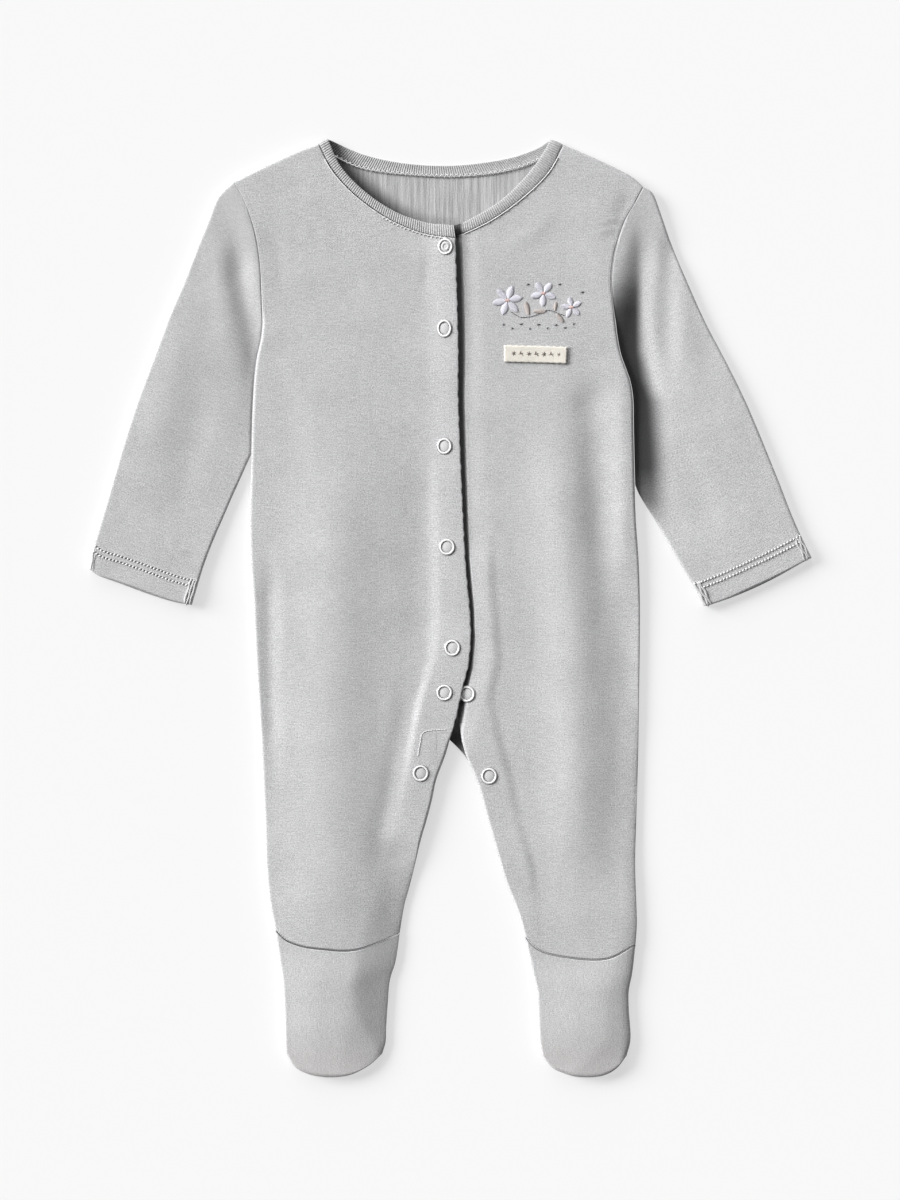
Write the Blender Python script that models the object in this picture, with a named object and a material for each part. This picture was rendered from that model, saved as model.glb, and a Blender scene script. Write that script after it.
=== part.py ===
"""Footed baby sleepsuit in cotton jersey, laid flat on its back.

Every cloth piece is one closed solid: an outer surface worked out from outline
tables and a height rule, and an inner surface one cloth thickness further in.
Sizes are millimetres until the meshes are written, then metres. X runs towards
the wearer's left, Y towards the neck, Z up out of the table. The outer face of
the back rests on Z = 0.
"""

import bpy
import numpy as np

# ------------------------------------------------------------------ sizes, mm
WALL = 1.5          # jersey with its air, one layer
BAND_WALL = 2.2     # faced front band and hems
SEAM_GAP = 0.5      # between two pieces that are sewn edge to edge
ANKLE_GAP = 0.6     # between leg and foot, whose seam is a curve
LAY_GAP = 0.3       # between a panel and what lies on it
FRONT_TOP = 5.3     # outer face of the front above the table
FOOT_TOP = 5.8      # outer face of a foot
SLEEVE_TOP = 5.0    # outer face of a sleeve
UNDERLAP_TOP = 3.4  # wearer's left front where it passes under the right
BACK_RISE = 2.8     # the back's edge at a folded side
FRONT_FALL = 3.1    # the front's edge at a folded side
LEG_FALL = 1.8      # the front's edge on the inside leg, lying on the back
SLEEVE_FOLD = 2.5   # middle height of a sleeve's folded edges
SEAM_DIP = 0.8      # how far a flat seam draws the surface in
ROLL = 5.0          # width over which an edge rolls over
SLEEVE_ROLL = 4.0
BAND_WIDTH = 16.0   # faced band along the front opening
LIFT_REACH = 34.0   # how far from the free edge the top front still stands off
FOOT_CROWN = 1.3    # how much fuller a foot is in its middle
CROWN_REACH = 24.0  # width over which it rounds off to its sides
BESIDE_BODY = 1.6   # how far a sleeve sinks beside the body
CROTCH_Y = -75.0
UNDERARM_Y = 163.0

RING_OUTER = 4.75   # popper ring
RING_INNER = 3.1
RING_HEIGHT = 1.0
RING_SEGMENTS = 16

TAB_WALL = 1.0

# -------------------------------------------------------- outlines, (x, y) mm
# Wearer's right half lies at negative X.
SHOULDER_R = [(-123.5, 243.5), (-111.5, 249.5), (-99.0, 255.5), (-86.5, 261.0), (-75.5, 265.0)]
SHOULDER_L = [(64.5, 263.5), (85.0, 255.5), (102.0, 247.0), (110.0, 240.5)]
ARMHOLE_R = [
    (-123.5, 243.5), (-118.0, 234.0), (-114.0, 223.5), (-111.0, 213.0),
    (-109.0, 201.0), (-108.0, 189.5), (-107.5, 175.5), (-107.0, 163.0),
]
ARMHOLE_L = [
    (110.0, 240.5), (105.0, 231.0), (100.0, 222.5), (96.5, 213.5),
    (93.3, 202.5), (91.7, 191.5), (91.7, 182.0), (92.7, 172.5), (94.0, 163.0),
]
SIDE_R = [
    (-107.0, 163.0), (-108.0, 153.5), (-110.5, 142.0), (-112.0, 128.0), (-113.0, 107.5),
    (-113.5, 87.5), (-114.5, 50.5), (-114.0, 27.5), (-112.5, 5.0), (-111.5, -18.0),
    (-109.5, -52.0), (-108.0, -75.0),
]
SIDE_L = [
    (94.0, 163.0), (95.0, 155.0), (97.0, 145.0), (100.0, 136.5), (102.5, 129.0),
    (104.0, 118.5), (104.3, 100.0), (105.0, 70.5), (105.7, 50.5), (107.3, 27.5),
    (108.0, 5.0), (108.0, -18.0), (107.5, -52.0), (107.2, -75.0),
]
OUTER_LEG_R = [
    (-108.0, -75.0), (-107.0, -98.0), (-106.0, -120.5), (-105.3, -143.5),
    (-104.0, -160.5), (-102.0, -173.0), (-100.0, -183.0),
]
OUTER_LEG_L = [
    (107.2, -75.0), (106.7, -95.0), (106.0, -118.5), (105.3, -145.0),
    (106.0, -168.0), (106.3, -180.0), (105.5, -191.5),
]
INNER_LEG_R = [
    (-0.5, -75.0), (-3.0, -84.0), (-8.0, -97.5), (-10.5, -109.0), (-13.5, -120.5),
    (-17.0, -132.5), (-20.0, -145.0), (-23.5, -159.0), (-26.5, -170.0), (-29.0, -185.0),
]
INNER_LEG_L = [
    (6.5, -76.0), (9.2, -85.0), (15.5, -100.0), (21.0, -120.0), (25.5, -135.5),
    (31.0, -154.0), (35.5, -165.0), (39.5, -176.0), (42.5, -187.0),
]
BACK_INNER_LEG_L = [(-0.5, -75.0), (5.6, -81.0), (10.0, -87.0)] + INNER_LEG_L[2:]
ANKLE_R = [
    (-100.0, -183.0), (-93.5, -189.0), (-83.5, -192.7), (-71.5, -194.2),
    (-61.0, -195.0), (-51.5, -194.0), (-41.0, -190.3), (-29.0, -185.0),
]
ANKLE_L = [
    (42.5, -187.0), (47.5, -192.5), (53.5, -196.0), (63.0, -198.3), (76.5, -200.0),
    (87.0, -200.0), (94.0, -198.0), (100.0, -194.6), (105.5, -191.5),
]
FOOT_OUTER_R = [
    (-100.0, -183.0), (-98.0, -197.5), (-96.0, -211.0), (-95.0, -227.0),
    (-94.5, -242.5), (-94.0, -253.0),
]
FOOT_INNER_R = [
    (-29.0, -185.0), (-31.2, -200.5), (-34.6, -212.0), (-35.7, -223.5),
    (-36.7, -238.5), (-37.0, -247.0), (-39.0, -254.0),
]
TOE_R = [
    (-94.0, -253.0), (-89.0, -261.3), (-81.5, -265.5), (-71.5, -267.4),
    (-61.0, -267.0), (-53.5, -264.7), (-45.5, -260.0), (-39.0, -254.0),
]
FOOT_INNER_L = [
    (42.5, -187.0), (46.5, -206.0), (49.2, -218.5), (49.7, -231.5),
    (50.5, -245.5), (52.5, -255.0),
]
FOOT_OUTER_L = [
    (105.5, -191.5), (103.7, -207.5), (101.7, -218.0), (101.7, -228.5),
    (102.7, -245.0), (100.5, -255.0),
]
TOE_L = [
    (52.5, -255.0), (58.0, -262.0), (66.0, -265.6), (74.0, -267.4),
    (86.0, -266.8), (94.5, -262.6), (100.5, -255.0),
]
NECKLINE_R = [
    (-75.5, 265.0), (-68.0, 250.5), (-55.5, 236.5), (-38.0, 223.5),
    (-21.0, 215.5), (-8.5, 212.3), (2.8, 211.0),
]
NECKLINE_L = [
    (64.5, 263.5), (56.0, 249.0), (42.0, 235.0), (25.0, 222.5),
    (9.0, 214.5), (-2.5, 211.0),
]
NECKLINE_BACK = [
    (-75.5, 265.0), (-64.0, 257.0), (-52.0, 251.7), (-38.0, 249.0), (-17.5, 247.2),
    (2.0, 246.6), (23.0, 248.2), (40.5, 252.0), (54.0, 257.5), (64.5, 263.5),
]
BAND_EDGE_R = [
    (-70.0, 267.5), (-62.5, 252.0), (-48.5, 237.5), (-31.0, 226.0),
    (-13.5, 220.0), (-3.0, 218.8), (1.8, 218.2),
]
BAND_EDGE_L = [
    (57.0, 266.0), (51.0, 256.0), (40.5, 243.5), (27.0, 231.5),
    (9.0, 221.0), (-2.5, 217.5),
]
BAND_EDGE_BACK = [
    (-70.0, 267.5), (-52.0, 259.0), (-34.5, 254.5), (-17.0, 252.5), (0.5, 252.0),
    (17.5, 253.0), (35.0, 256.0), (49.0, 261.0), (57.0, 266.0),
]
FRONT_EDGE = [      # free edge of the wearer's right front, lying on top
    (2.8, 211.0), (3.1, 200.0), (3.5, 187.0), (4.5, 147.5), (4.5, 119.0), (6.0, 79.0),
    (8.5, 27.5), (11.0, -0.5), (11.5, -18.0), (10.0, -33.5), (7.7, -42.0),
    (6.0, -49.5), (3.0, -63.0), (-0.5, -75.0),
]
UNDER_EDGE = [      # hidden edge of the wearer's left front
    (-2.5, 211.0), (-6.0, 176.0), (-6.0, 119.0), (-5.5, 62.0), (-4.5, 5.0),
    (-3.0, -23.5), (-0.5, -41.0), (3.0, -55.0), (4.8, -65.0), (6.5, -76.0),
]
SLEEVE_OUTER_R = [
    (-129.5, 238.5), (-134.0, 232.5), (-138.0, 222.0), (-143.0, 210.0),
    (-152.0, 187.0), (-161.5, 164.5), (-170.0, 141.5), (-178.5, 119.0),
    (-186.0, 96.0), (-193.0, 72.0), (-200.5, 46.5), (-204.3, 33.5), (-206.0, 22.5),
]
SLEEVE_INNER_R = [
    (-117.0, 80.5), (-121.0, 71.5), (-125.5, 61.5), (-130.0, 51.0),
    (-135.0, 39.5), (-140.2, 26.0), (-143.7, 15.0), (-147.5, 2.0),
]
CUFF_R = [
    (-206.0, 22.5), (-201.0, 18.8), (-190.5, 15.5), (-179.0, 11.5),
    (-162.0, 5.3), (-153.0, 2.8), (-147.5, 2.0),
]
SLEEVE_OUTER_L = [
    (115.5, 236.5), (119.5, 226.5), (126.5, 206.5), (136.0, 184.0), (145.5, 163.0),
    (156.5, 142.0), (166.0, 123.0), (174.0, 105.0), (187.0, 73.0), (193.0, 57.5),
    (198.5, 44.5), (206.0, 29.0),
]
SLEEVE_INNER_L = [
    (108.5, 63.5), (119.0, 46.5), (129.5, 28.0), (138.5, 13.0), (144.5, 1.5),
]
CUFF_L = [(144.5, 1.5), (148.0, 2.0), (160.0, 6.5), (175.5, 13.5), (190.0, 20.5), (206.0, 29.0)]

# How far the top front stands off along its free edge: (y, lift)
EDGE_LIFT = [
    (-125.0, 0.0), (-95.0, 0.5), (-78.0, 1.9), (-60.0, 2.3), (-30.0, 2.2), (-8.0, 1.4),
    (40.0, 1.0), (110.0, 1.0), (150.0, 1.3), (190.0, 1.9), (218.0, 2.0),
]

# Creases: width, height, then the line they follow
CREASES_R = [
    (25.0, 2.9, [
        (-60.0, 130.0), (-63.0, 73.0), (-65.0, 20.0), (-66.5, -40.0), (-68.0, -110.0),
        (-67.5, -172.0), (-66.0, -245.0),
    ]),
    (12.0, -0.9, [(-17.0, 95.0), (-16.0, 40.0), (-17.0, -15.0), (-22.0, -45.0)]),
    (6.0, 1.4, [(-17.0, -45.0), (-22.0, -64.0), (-27.0, -92.0), (-32.5, -120.0), (-38.0, -145.0)]),
    (5.0, -1.0, [(-103.0, 35.0), (-103.0, -30.0), (-101.0, -95.0)]),
]
CREASES_L = [
    (15.0, 2.2, [
        (60.0, 120.0), (63.0, 62.0), (66.0, 16.0), (67.5, -29.0), (69.0, -75.0),
        (69.0, -120.0), (70.0, -172.0), (75.0, -245.0),
    ]),
    (10.0, -1.7, [(82.0, 115.0), (85.0, 75.0), (87.0, 25.0)]),
    (10.0, -1.1, [(87.0, 30.0), (87.0, -40.0), (87.0, -110.0), (85.0, -165.0)]),
    (7.0, -1.0, [(25.5, 25.0), (27.0, -30.0), (25.0, -60.0), (29.0, -95.0), (37.0, -125.0), (44.0, -155.0)]),
    (7.0, -0.9, [(98.0, 225.0), (94.0, 205.0)]),
    (7.0, -0.6, [(92.0, 125.0), (70.0, 112.0)]),
]
CREASES_SLEEVE_R = [
    (7.0, -1.7, [(-125.0, 212.0), (-121.0, 196.0), (-116.6, 176.0), (-113.5, 155.0), (-113.0, 135.0)]),
    (7.0, 0.9, [(-113.0, 216.0), (-110.5, 195.0), (-109.5, 172.0)]),
    (11.0, 0.8, [(-150.0, 170.0), (-160.0, 130.0), (-172.0, 80.0)]),
]
CREASES_SLEEVE_L = [
    (8.0, -1.8, [(112.0, 216.0), (109.0, 190.0), (107.0, 165.0), (109.0, 140.0), (114.0, 105.0)]),
    (6.0, 1.5, [(118.0, 216.0), (115.5, 187.0), (115.0, 159.0), (119.0, 119.0), (127.0, 72.0)]),
    (6.0, -0.9, [(129.0, 200.0), (126.5, 180.0), (125.0, 155.0), (128.0, 130.0)]),
    (9.0, 0.8, [(133.0, 190.0), (140.0, 150.0), (153.0, 105.0)]),
]

# Poppers: number, x, y, panel they lie on
POPPERS = [
    (1, -3.0, 206.2, "front_right"),
    (2, -3.5, 159.5, "front_right"),
    (3, -3.5, 92.5, "front_right"),
    (4, -2.0, 35.0, "front_right"),
    (5, 1.0, -22.5, "front_right"),
    (6, -3.5, -48.0, "front_right"),
    (7, 10.0, -48.8, "front_left"),
    (8, -17.0, -94.0, "front_right"),
    (9, 22.0, -95.5, "front_left"),
]
TAB_CORNERS = [(30.5, 150.0), (66.5, 149.0), (66.0, 139.5), (30.5, 140.5)]

COTTON = (0.60, 0.60, 0.61, 1.0)
CREAM = (0.86, 0.82, 0.74, 1.0)
PEARL = (0.88, 0.88, 0.87, 1.0)


# ---------------------------------------------------------------- small tools
def rounded(points, steps=6):
    """A smooth curve through the points, as a fine chain of points."""
    given = np.asarray(points, float)
    ends = np.vstack([2 * given[0] - given[1], given, 2 * given[-1] - given[-2]])
    t = (np.arange(steps) / steps)[:, None]
    pieces = []
    for a, b, c, d in zip(ends[:-3], ends[1:-2], ends[2:-1], ends[3:]):
        cubic = -a + 3 * b - 3 * c + d
        square = 2 * a - 5 * b + 4 * c - d
        pieces.append(0.5 * (2 * b + (c - a) * t + square * t**2 + cubic * t**3))
    return np.vstack(pieces + [given[-1:]])


def arc(curve):
    """Length along the curve at each of its points."""
    return np.concatenate([[0.0], np.cumsum(np.linalg.norm(np.diff(curve, axis=0), axis=1))])


def at(curve, lengths):
    """Points of the curve at the given lengths."""
    along = arc(curve)
    return np.stack([np.interp(lengths, along, curve[:, k]) for k in range(2)], axis=-1)


def joined(*curves):
    """Curves end to end, and the length at which each joint and the end lie."""
    chain = np.vstack([curves[0]] + [c[1:] for c in curves[1:]])
    marks = np.cumsum([arc(c)[-1] for c in curves])
    return chain, marks


def length_at_y(curve, y):
    """Length at which a falling curve passes the height y."""
    return np.interp(-y, -curve[:, 1], arc(curve))


def shifted(curve, distance):
    """The curve moved sideways, to its left for a positive distance."""
    step = np.gradient(curve, axis=0)
    step /= np.linalg.norm(step, axis=1, keepdims=True)
    return curve + distance * np.stack([-step[:, 1], step[:, 0]], axis=1)


def ease(t):
    """A smooth step from 0 to 1 for t from 0 to 1."""
    t = np.clip(t, 0.0, 1.0)
    return t * t * (3 - 2 * t)


def rise(distance, reach):
    """Quarter of an ellipse: 0 at an edge, 1 from `reach` inwards."""
    q = np.clip(1 - distance / reach, 0.0, 1.0)
    return np.sqrt(1 - q * q)


def creases(x, y, table):
    """Sum of soft ridges and troughs, each fading towards its two ends."""
    total = np.zeros_like(x)
    for width, height, line in table:
        line = np.asarray(line, float)
        along = arc(line)
        nearest = np.full_like(x, 1e9)
        place = np.zeros_like(x)
        for a, b, start in zip(line[:-1], line[1:], along):
            d = b - a
            t = np.clip(((x - a[0]) * d[0] + (y - a[1]) * d[1]) / (d @ d), 0.0, 1.0)
            gap = np.hypot(x - a[0] - t * d[0], y - a[1] - t * d[1])
            closer = gap < nearest
            nearest = np.where(closer, gap, nearest)
            place = np.where(closer, start + t * np.linalg.norm(d), place)
        fade = ease(place / (0.25 * along[-1])) * ease((along[-1] - place) / (0.25 * along[-1]))
        total += height * np.exp(-((nearest / width) ** 2)) * (0.15 + 0.85 * fade)
    return total


# --------------------------------------------------------------- panel layout
class Patch:
    """A grid of points between a left and a right curve.

    Row 0 follows the top curve and the last row the bottom curve. `left` and
    `right` are lengths along the side curves at which the rows start and end.
    """

    def __init__(self, sides, rows, ends, roll, cells, centre=False, left_edge=None, right_edge=None):
        (left_curve, right_curve), (left, right) = sides, rows
        top, bottom = ends
        a, b = at(left_curve, left), at(right_curve, right)
        share = 0.5 * (left / left[-1] + right / right[-1])
        width = np.linalg.norm(b - a, axis=1)
        width[0] = arc(top)[-1]
        width[-1] = arc(bottom)[-1]
        edge = [edge_columns(roll)] * len(width)
        first = edge if left_edge is None else left_edge
        last = edge if right_edge is None else right_edge
        self.u = np.array([
            column_shares(w, a_edge, b_edge, cells, centre)
            for w, a_edge, b_edge in zip(width, first, last)
        ])
        self.v = share
        flat = (1 - self.u)[..., None] * a[:, None] + self.u[..., None] * b[:, None]
        chord_top = (1 - self.u)[..., None] * a[0] + self.u[..., None] * b[0]
        chord_low = (1 - self.u)[..., None] * a[-1] + self.u[..., None] * b[-1]
        bulge_top = at(top, self.u * arc(top)[-1]) - chord_top
        bulge_low = at(bottom, self.u * arc(bottom)[-1]) - chord_low
        v = share[:, None, None]
        self.xy = flat + (1 - v) ** 2 * bulge_top + v**2 * bulge_low
        self.from_left = self.u * width[:, None]
        self.from_right = (1 - self.u) * width[:, None]
        self.from_top = (1 - self.u) * left[:, None] + self.u * right[:, None]
        self.from_low = (1 - self.u) * (left[-1] - left)[:, None] + self.u * (right[-1] - right)[:, None]

    @property
    def x(self):
        return self.xy[..., 0]

    @property
    def y(self):
        return self.xy[..., 1]


def edge_columns(roll):
    """Distances from an edge at which its roll is sampled."""
    return roll * (1 - np.cos(np.radians([0, 30, 60, 90])))


def column_shares(width, left, right, cells, centre):
    """Column places as shares of a row, close together at both edges."""
    middle = np.linspace(left[-1], width - right[-1], cells + 1)
    if centre:
        half = cells // 2
        first = np.linspace(left[-1], width / 2, half + 1)
        middle = np.concatenate([first, width - first[-2::-1]])
    return np.concatenate([left[:-1], middle, (width - right[:-1])[::-1]]) / width


def rows_between(*keys):
    """Row places on both side curves from keys of (left, right, rows to the next key)."""
    left, right = [], []
    for (a, b, count), (c, d, _) in zip(keys[:-1], keys[1:]):
        t = np.arange(count) / count
        left.extend(a + (c - a) * t)
        right.extend(b + (d - b) * t)
    left.append(keys[-1][0])
    right.append(keys[-1][1])
    return np.array(left), np.array(right)


def level_edges(patch, left=0.0, right=0.0, top=0.0, low=0.0):
    """Level outward directions along edges that roll right over, zero elsewhere.

    Each argument is how far that edge has turned, from 0 for flat to 1.
    """
    lean = np.zeros(patch.xy.shape[:2] + (3,))
    for rows, turned, side in (
        (np.s_[:, 0], left, -1), (np.s_[:, -1], right, 1),
        (np.s_[0, :], top, 1), (np.s_[-1, :], low, -1),
    ):
        step = np.gradient(patch.xy[rows], axis=0)
        step /= np.linalg.norm(step, axis=1, keepdims=True)
        outward = side * np.stack([-step[:, 1], step[:, 0]], axis=1)
        lean[rows][:, :2] += np.broadcast_to(turned, len(step))[:, None] * outward
    return lean


def seam_edges(patch, left=False, right=False, top=False, low=False):
    """Level directions along the edges that are sewn to a neighbour, zero elsewhere.

    The rim of such an edge is kept upright over its seam line.
    """
    line = np.zeros(patch.xy.shape[:2] + (2,))
    for rows, sewn in (
        (np.s_[:, 0], left), (np.s_[:, -1], right), (np.s_[0, :], top), (np.s_[-1, :], low),
    ):
        step = np.gradient(patch.xy[rows], axis=0)
        step /= np.linalg.norm(step, axis=1, keepdims=True)
        sewn = np.broadcast_to(sewn, len(step))
        line[rows][sewn] = step[sewn]
    return line


def sheet(patch, z, lean=None, wall=WALL, underside=False, line=None):
    """Points, outward faces, edge directions and wall of one patch."""
    rows, cols = z.shape
    index = np.arange(rows * cols).reshape(rows, cols)
    quads = np.stack([index[:-1, :-1], index[1:, :-1], index[1:, 1:], index[:-1, 1:]], axis=-1)
    quads = quads.reshape(-1, 4)
    points = np.concatenate([patch.xy, z[..., None]], axis=-1).reshape(-1, 3)
    lean = np.zeros_like(points) if lean is None else lean.reshape(-1, 3)
    line = np.zeros((len(points), 2)) if line is None else line.reshape(-1, 2)
    wall = np.broadcast_to(wall, z.shape).reshape(-1)
    return points, quads[:, ::-1] if underside else quads, np.hstack([lean, line]), wall


def welded(sheets):
    """Several sheets as one surface, with equal points made one."""
    start, points, quads, lean, wall = 0, [], [], [], []
    for p, q, l, w in sheets:
        points.append(p)
        quads.append(q + start)
        lean.append(l)
        wall.append(w)
        start += len(p)
    points, lean, wall = np.vstack(points), np.vstack(lean), np.concatenate(wall)
    _, first, back = np.unique(np.round(points, 3), axis=0, return_index=True, return_inverse=True)
    merged = np.zeros((len(first), 5))
    np.add.at(merged, back.ravel(), lean)
    return points[first], back.ravel()[np.vstack(quads)], merged, wall[first]


def triangles(quads):
    return np.vstack([quads[:, [0, 1, 2]], quads[:, [0, 2, 3]]])


def vertex_normals(points, tris):
    a, b, c = points[tris[:, 0]], points[tris[:, 1]], points[tris[:, 2]]
    face = np.cross(b - a, c - a)
    total = np.zeros_like(points)
    for k in range(3):
        np.add.at(total, tris[:, k], face)
    return total / np.linalg.norm(total, axis=1, keepdims=True)


def shell(sheets):
    """A closed solid: the outer surface, the inner one and the rims between."""
    points, quads, lean, wall = welded(sheets)
    outer = triangles(quads)
    normal = vertex_normals(points, outer)
    lean, line = lean[:, :3], lean[:, 3:]
    size = np.linalg.norm(lean, axis=1, keepdims=True)
    lean = np.where(size > 1, lean / np.maximum(size, 1e-9), lean)
    normal = (1 - np.minimum(size, 1)) * normal + lean
    length = np.linalg.norm(line, axis=1)
    sewn = length > 1e-6
    unit = line[sewn] / length[sewn, None]
    normal[sewn, :2] = np.sum(normal[sewn, :2] * unit, axis=1, keepdims=True) * unit
    normal /= np.linalg.norm(normal, axis=1, keepdims=True)
    inner = points - wall[:, None] * normal
    edges = np.vstack([outer[:, [0, 1]], outer[:, [1, 2]], outer[:, [2, 0]]])
    known = set(map(tuple, edges))
    free = np.array([e for e in edges if (e[1], e[0]) not in known])
    n = len(points)
    rim = np.stack([free[:, 1], free[:, 0], free[:, 0] + n, free[:, 1] + n], axis=1)
    faces = np.vstack([outer, outer[:, ::-1] + n, triangles(rim)])
    return np.vstack([points, inner]), faces


def surface_height(sheet_parts, x, y):
    """Height of a panel's outer surface above the point (x, y)."""
    points, quads, _, _ = sheet_parts
    tris = triangles(quads)
    a, b, c = points[tris[:, 0]], points[tris[:, 1]], points[tris[:, 2]]
    area = (b[:, 0] - a[:, 0]) * (c[:, 1] - a[:, 1]) - (c[:, 0] - a[:, 0]) * (b[:, 1] - a[:, 1])
    s = ((x - a[:, 0]) * (c[:, 1] - a[:, 1]) - (c[:, 0] - a[:, 0]) * (y - a[:, 1])) / area
    t = ((b[:, 0] - a[:, 0]) * (y - a[:, 1]) - (x - a[:, 0]) * (b[:, 1] - a[:, 1])) / area
    inside = np.minimum(np.minimum(s, t), 1 - s - t)
    k = int(np.argmax(inside))
    return a[k, 2] + s[k] * (b[k, 2] - a[k, 2]) + t[k] * (c[k, 2] - a[k, 2])


# ------------------------------------------------------------- height of parts
def opening_x(y):
    """X of the top front's free edge and inside leg at a height y."""
    line = np.array(FRONT_EDGE + INNER_LEG_R[1:])
    return np.interp(-y, -line[:, 1], line[:, 0])


def top_front_height(x, y):
    """Wearer's right front, without its edges: level, raised along the opening."""
    table = np.array(EDGE_LIFT)
    lift = np.interp(y, table[:, 0], table[:, 1])
    near = ease((LIFT_REACH - (opening_x(y) - x)) / BAND_WIDTH)
    return FRONT_TOP + lift * near + creases(x, y, CREASES_R)


def under_front_height(x, y):
    """Wearer's left front, without its edges: low where the other front lies on it."""
    clear = ease((x - opening_x(y) - 1.0) / 7.0)
    high = FRONT_TOP + creases(x, y, CREASES_L)
    return UNDERLAP_TOP + (high - UNDERLAP_TOP) * clear


def side_turn(y):
    """0 along the armhole, 1 below the underarm."""
    return ease((UNDERARM_Y + 10.0 - y) / 10.0)


def edged(z, *edges):
    """Height with each edge (distance, edge height, reach) drawn down."""
    drawn = [low + (z - low) * rise(distance, reach) for distance, low, reach in edges]
    return np.minimum.reduce(drawn + [z])


def front_right():
    left, left_marks = joined(rounded(ARMHOLE_R), rounded(SIDE_R), rounded(OUTER_LEG_R))
    right, right_marks = joined(rounded(NECKLINE_R), rounded(FRONT_EDGE), rounded(INNER_LEG_R))
    neck, crotch = right_marks[0], right_marks[1]
    rows = rows_between(
        (0.0, 0.0, 1), (0.7, 0.7, 1), (2.5, 2.5, 1), (5.0, 5.0, 6),
        (62.0, neck, 2), (left_marks[0], neck + 26.0, 5),
        (length_at_y(left, 100.0), length_at_y(right, 100.0), 12),
        (left_marks[1], crotch, 8), (left_marks[2] - 3.0, right_marks[2] - 3.0, 1),
        (left_marks[2], right_marks[2], 0),
    )
    patch = Patch((left, right), rows, (rounded(SHOULDER_R), rounded(ANKLE_R)), ROLL, 9)
    z = top_front_height(patch.x, patch.y)
    turn = side_turn(patch.y)
    leg = ease((CROTCH_Y + 6.0 - patch.y) / 14.0)
    outer_low = (1 - turn) * (z - SEAM_DIP) + turn * FRONT_FALL
    inner_low = (1 - leg) * (z - 0.5) + leg * LEG_FALL
    z = edged(
        z, (patch.from_left, outer_low, ROLL), (patch.from_right, inner_low, ROLL),
        (patch.from_top, FRONT_FALL, ROLL), (patch.from_low, z - SEAM_DIP, ROLL),
    )
    lean = level_edges(patch, left=turn[:, 0], right=leg[:, -1], top=1.0)
    on_neck = rows[1] <= neck + 0.1
    line = seam_edges(patch, left=turn[:, 0] < 0.1, right=on_neck, low=True)
    band = ease((BAND_WIDTH + 4.0 - (opening_x(patch.y) - patch.x)) / 4.0) * ease(212.0 - patch.y)
    wall = WALL + (BAND_WALL - WALL) * band * (1 - leg)
    return sheet(patch, z, lean, wall, line=line)


def front_left():
    left, left_marks = joined(rounded(NECKLINE_L), rounded(UNDER_EDGE), rounded(INNER_LEG_L))
    right, right_marks = joined(rounded(ARMHOLE_L), rounded(SIDE_L), rounded(OUTER_LEG_L))
    neck, crotch = left_marks[0], left_marks[1]
    rows = rows_between(
        (0.0, 0.0, 1), (0.7, 0.7, 1), (2.5, 2.5, 1), (5.0, 5.0, 6),
        (neck, 62.0, 2), (neck + 26.0, right_marks[0], 5),
        (length_at_y(left, 100.0), length_at_y(right, 100.0), 12),
        (crotch, right_marks[1], 8), (left_marks[2] - 3.0, right_marks[2] - 3.0, 1),
        (left_marks[2], right_marks[2], 0),
    )
    start = at(left, rows[0])
    hidden = np.maximum(opening_x(start[:, 1]) - start[:, 0], 1.0)[:, None]
    beside = np.hstack([0 * hidden, 0.5 * hidden, hidden + 0.8, hidden + 3.8, hidden + 8.5])
    rolled = np.append(edge_columns(ROLL), 9.0)
    on_band = (ease((CROTCH_Y + 25.0 - start[:, 1]) / -20.0) * ease((215.0 - start[:, 1]) / 4.0))[:, None]
    first = on_band * beside + (1 - on_band) * rolled
    ends = (rounded(SHOULDER_L), rounded(ANKLE_L))
    patch = Patch((left, right), rows, ends, ROLL, 9, left_edge=first)
    z = under_front_height(patch.x, patch.y)
    turn = side_turn(patch.y)
    leg = ease((CROTCH_Y + 12.0 - patch.y) / 12.0)
    outer_low = (1 - turn) * (z - SEAM_DIP) + turn * FRONT_FALL
    on_neck = ease((patch.y - 208.0) / 6.0)
    inner_low = (1 - leg) * (z - 0.5 * on_neck) + leg * LEG_FALL
    z = edged(
        z, (patch.from_right, outer_low, ROLL), (patch.from_left, inner_low, ROLL),
        (patch.from_top, FRONT_FALL, ROLL), (patch.from_low, z - SEAM_DIP, ROLL),
    )
    lean = level_edges(patch, right=turn[:, -1], left=leg[:, 0], top=1.0)
    line = seam_edges(patch, right=turn[:, -1] < 0.1, left=rows[0] <= neck + 0.1, low=True)
    return sheet(patch, z, lean, line=line)


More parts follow.
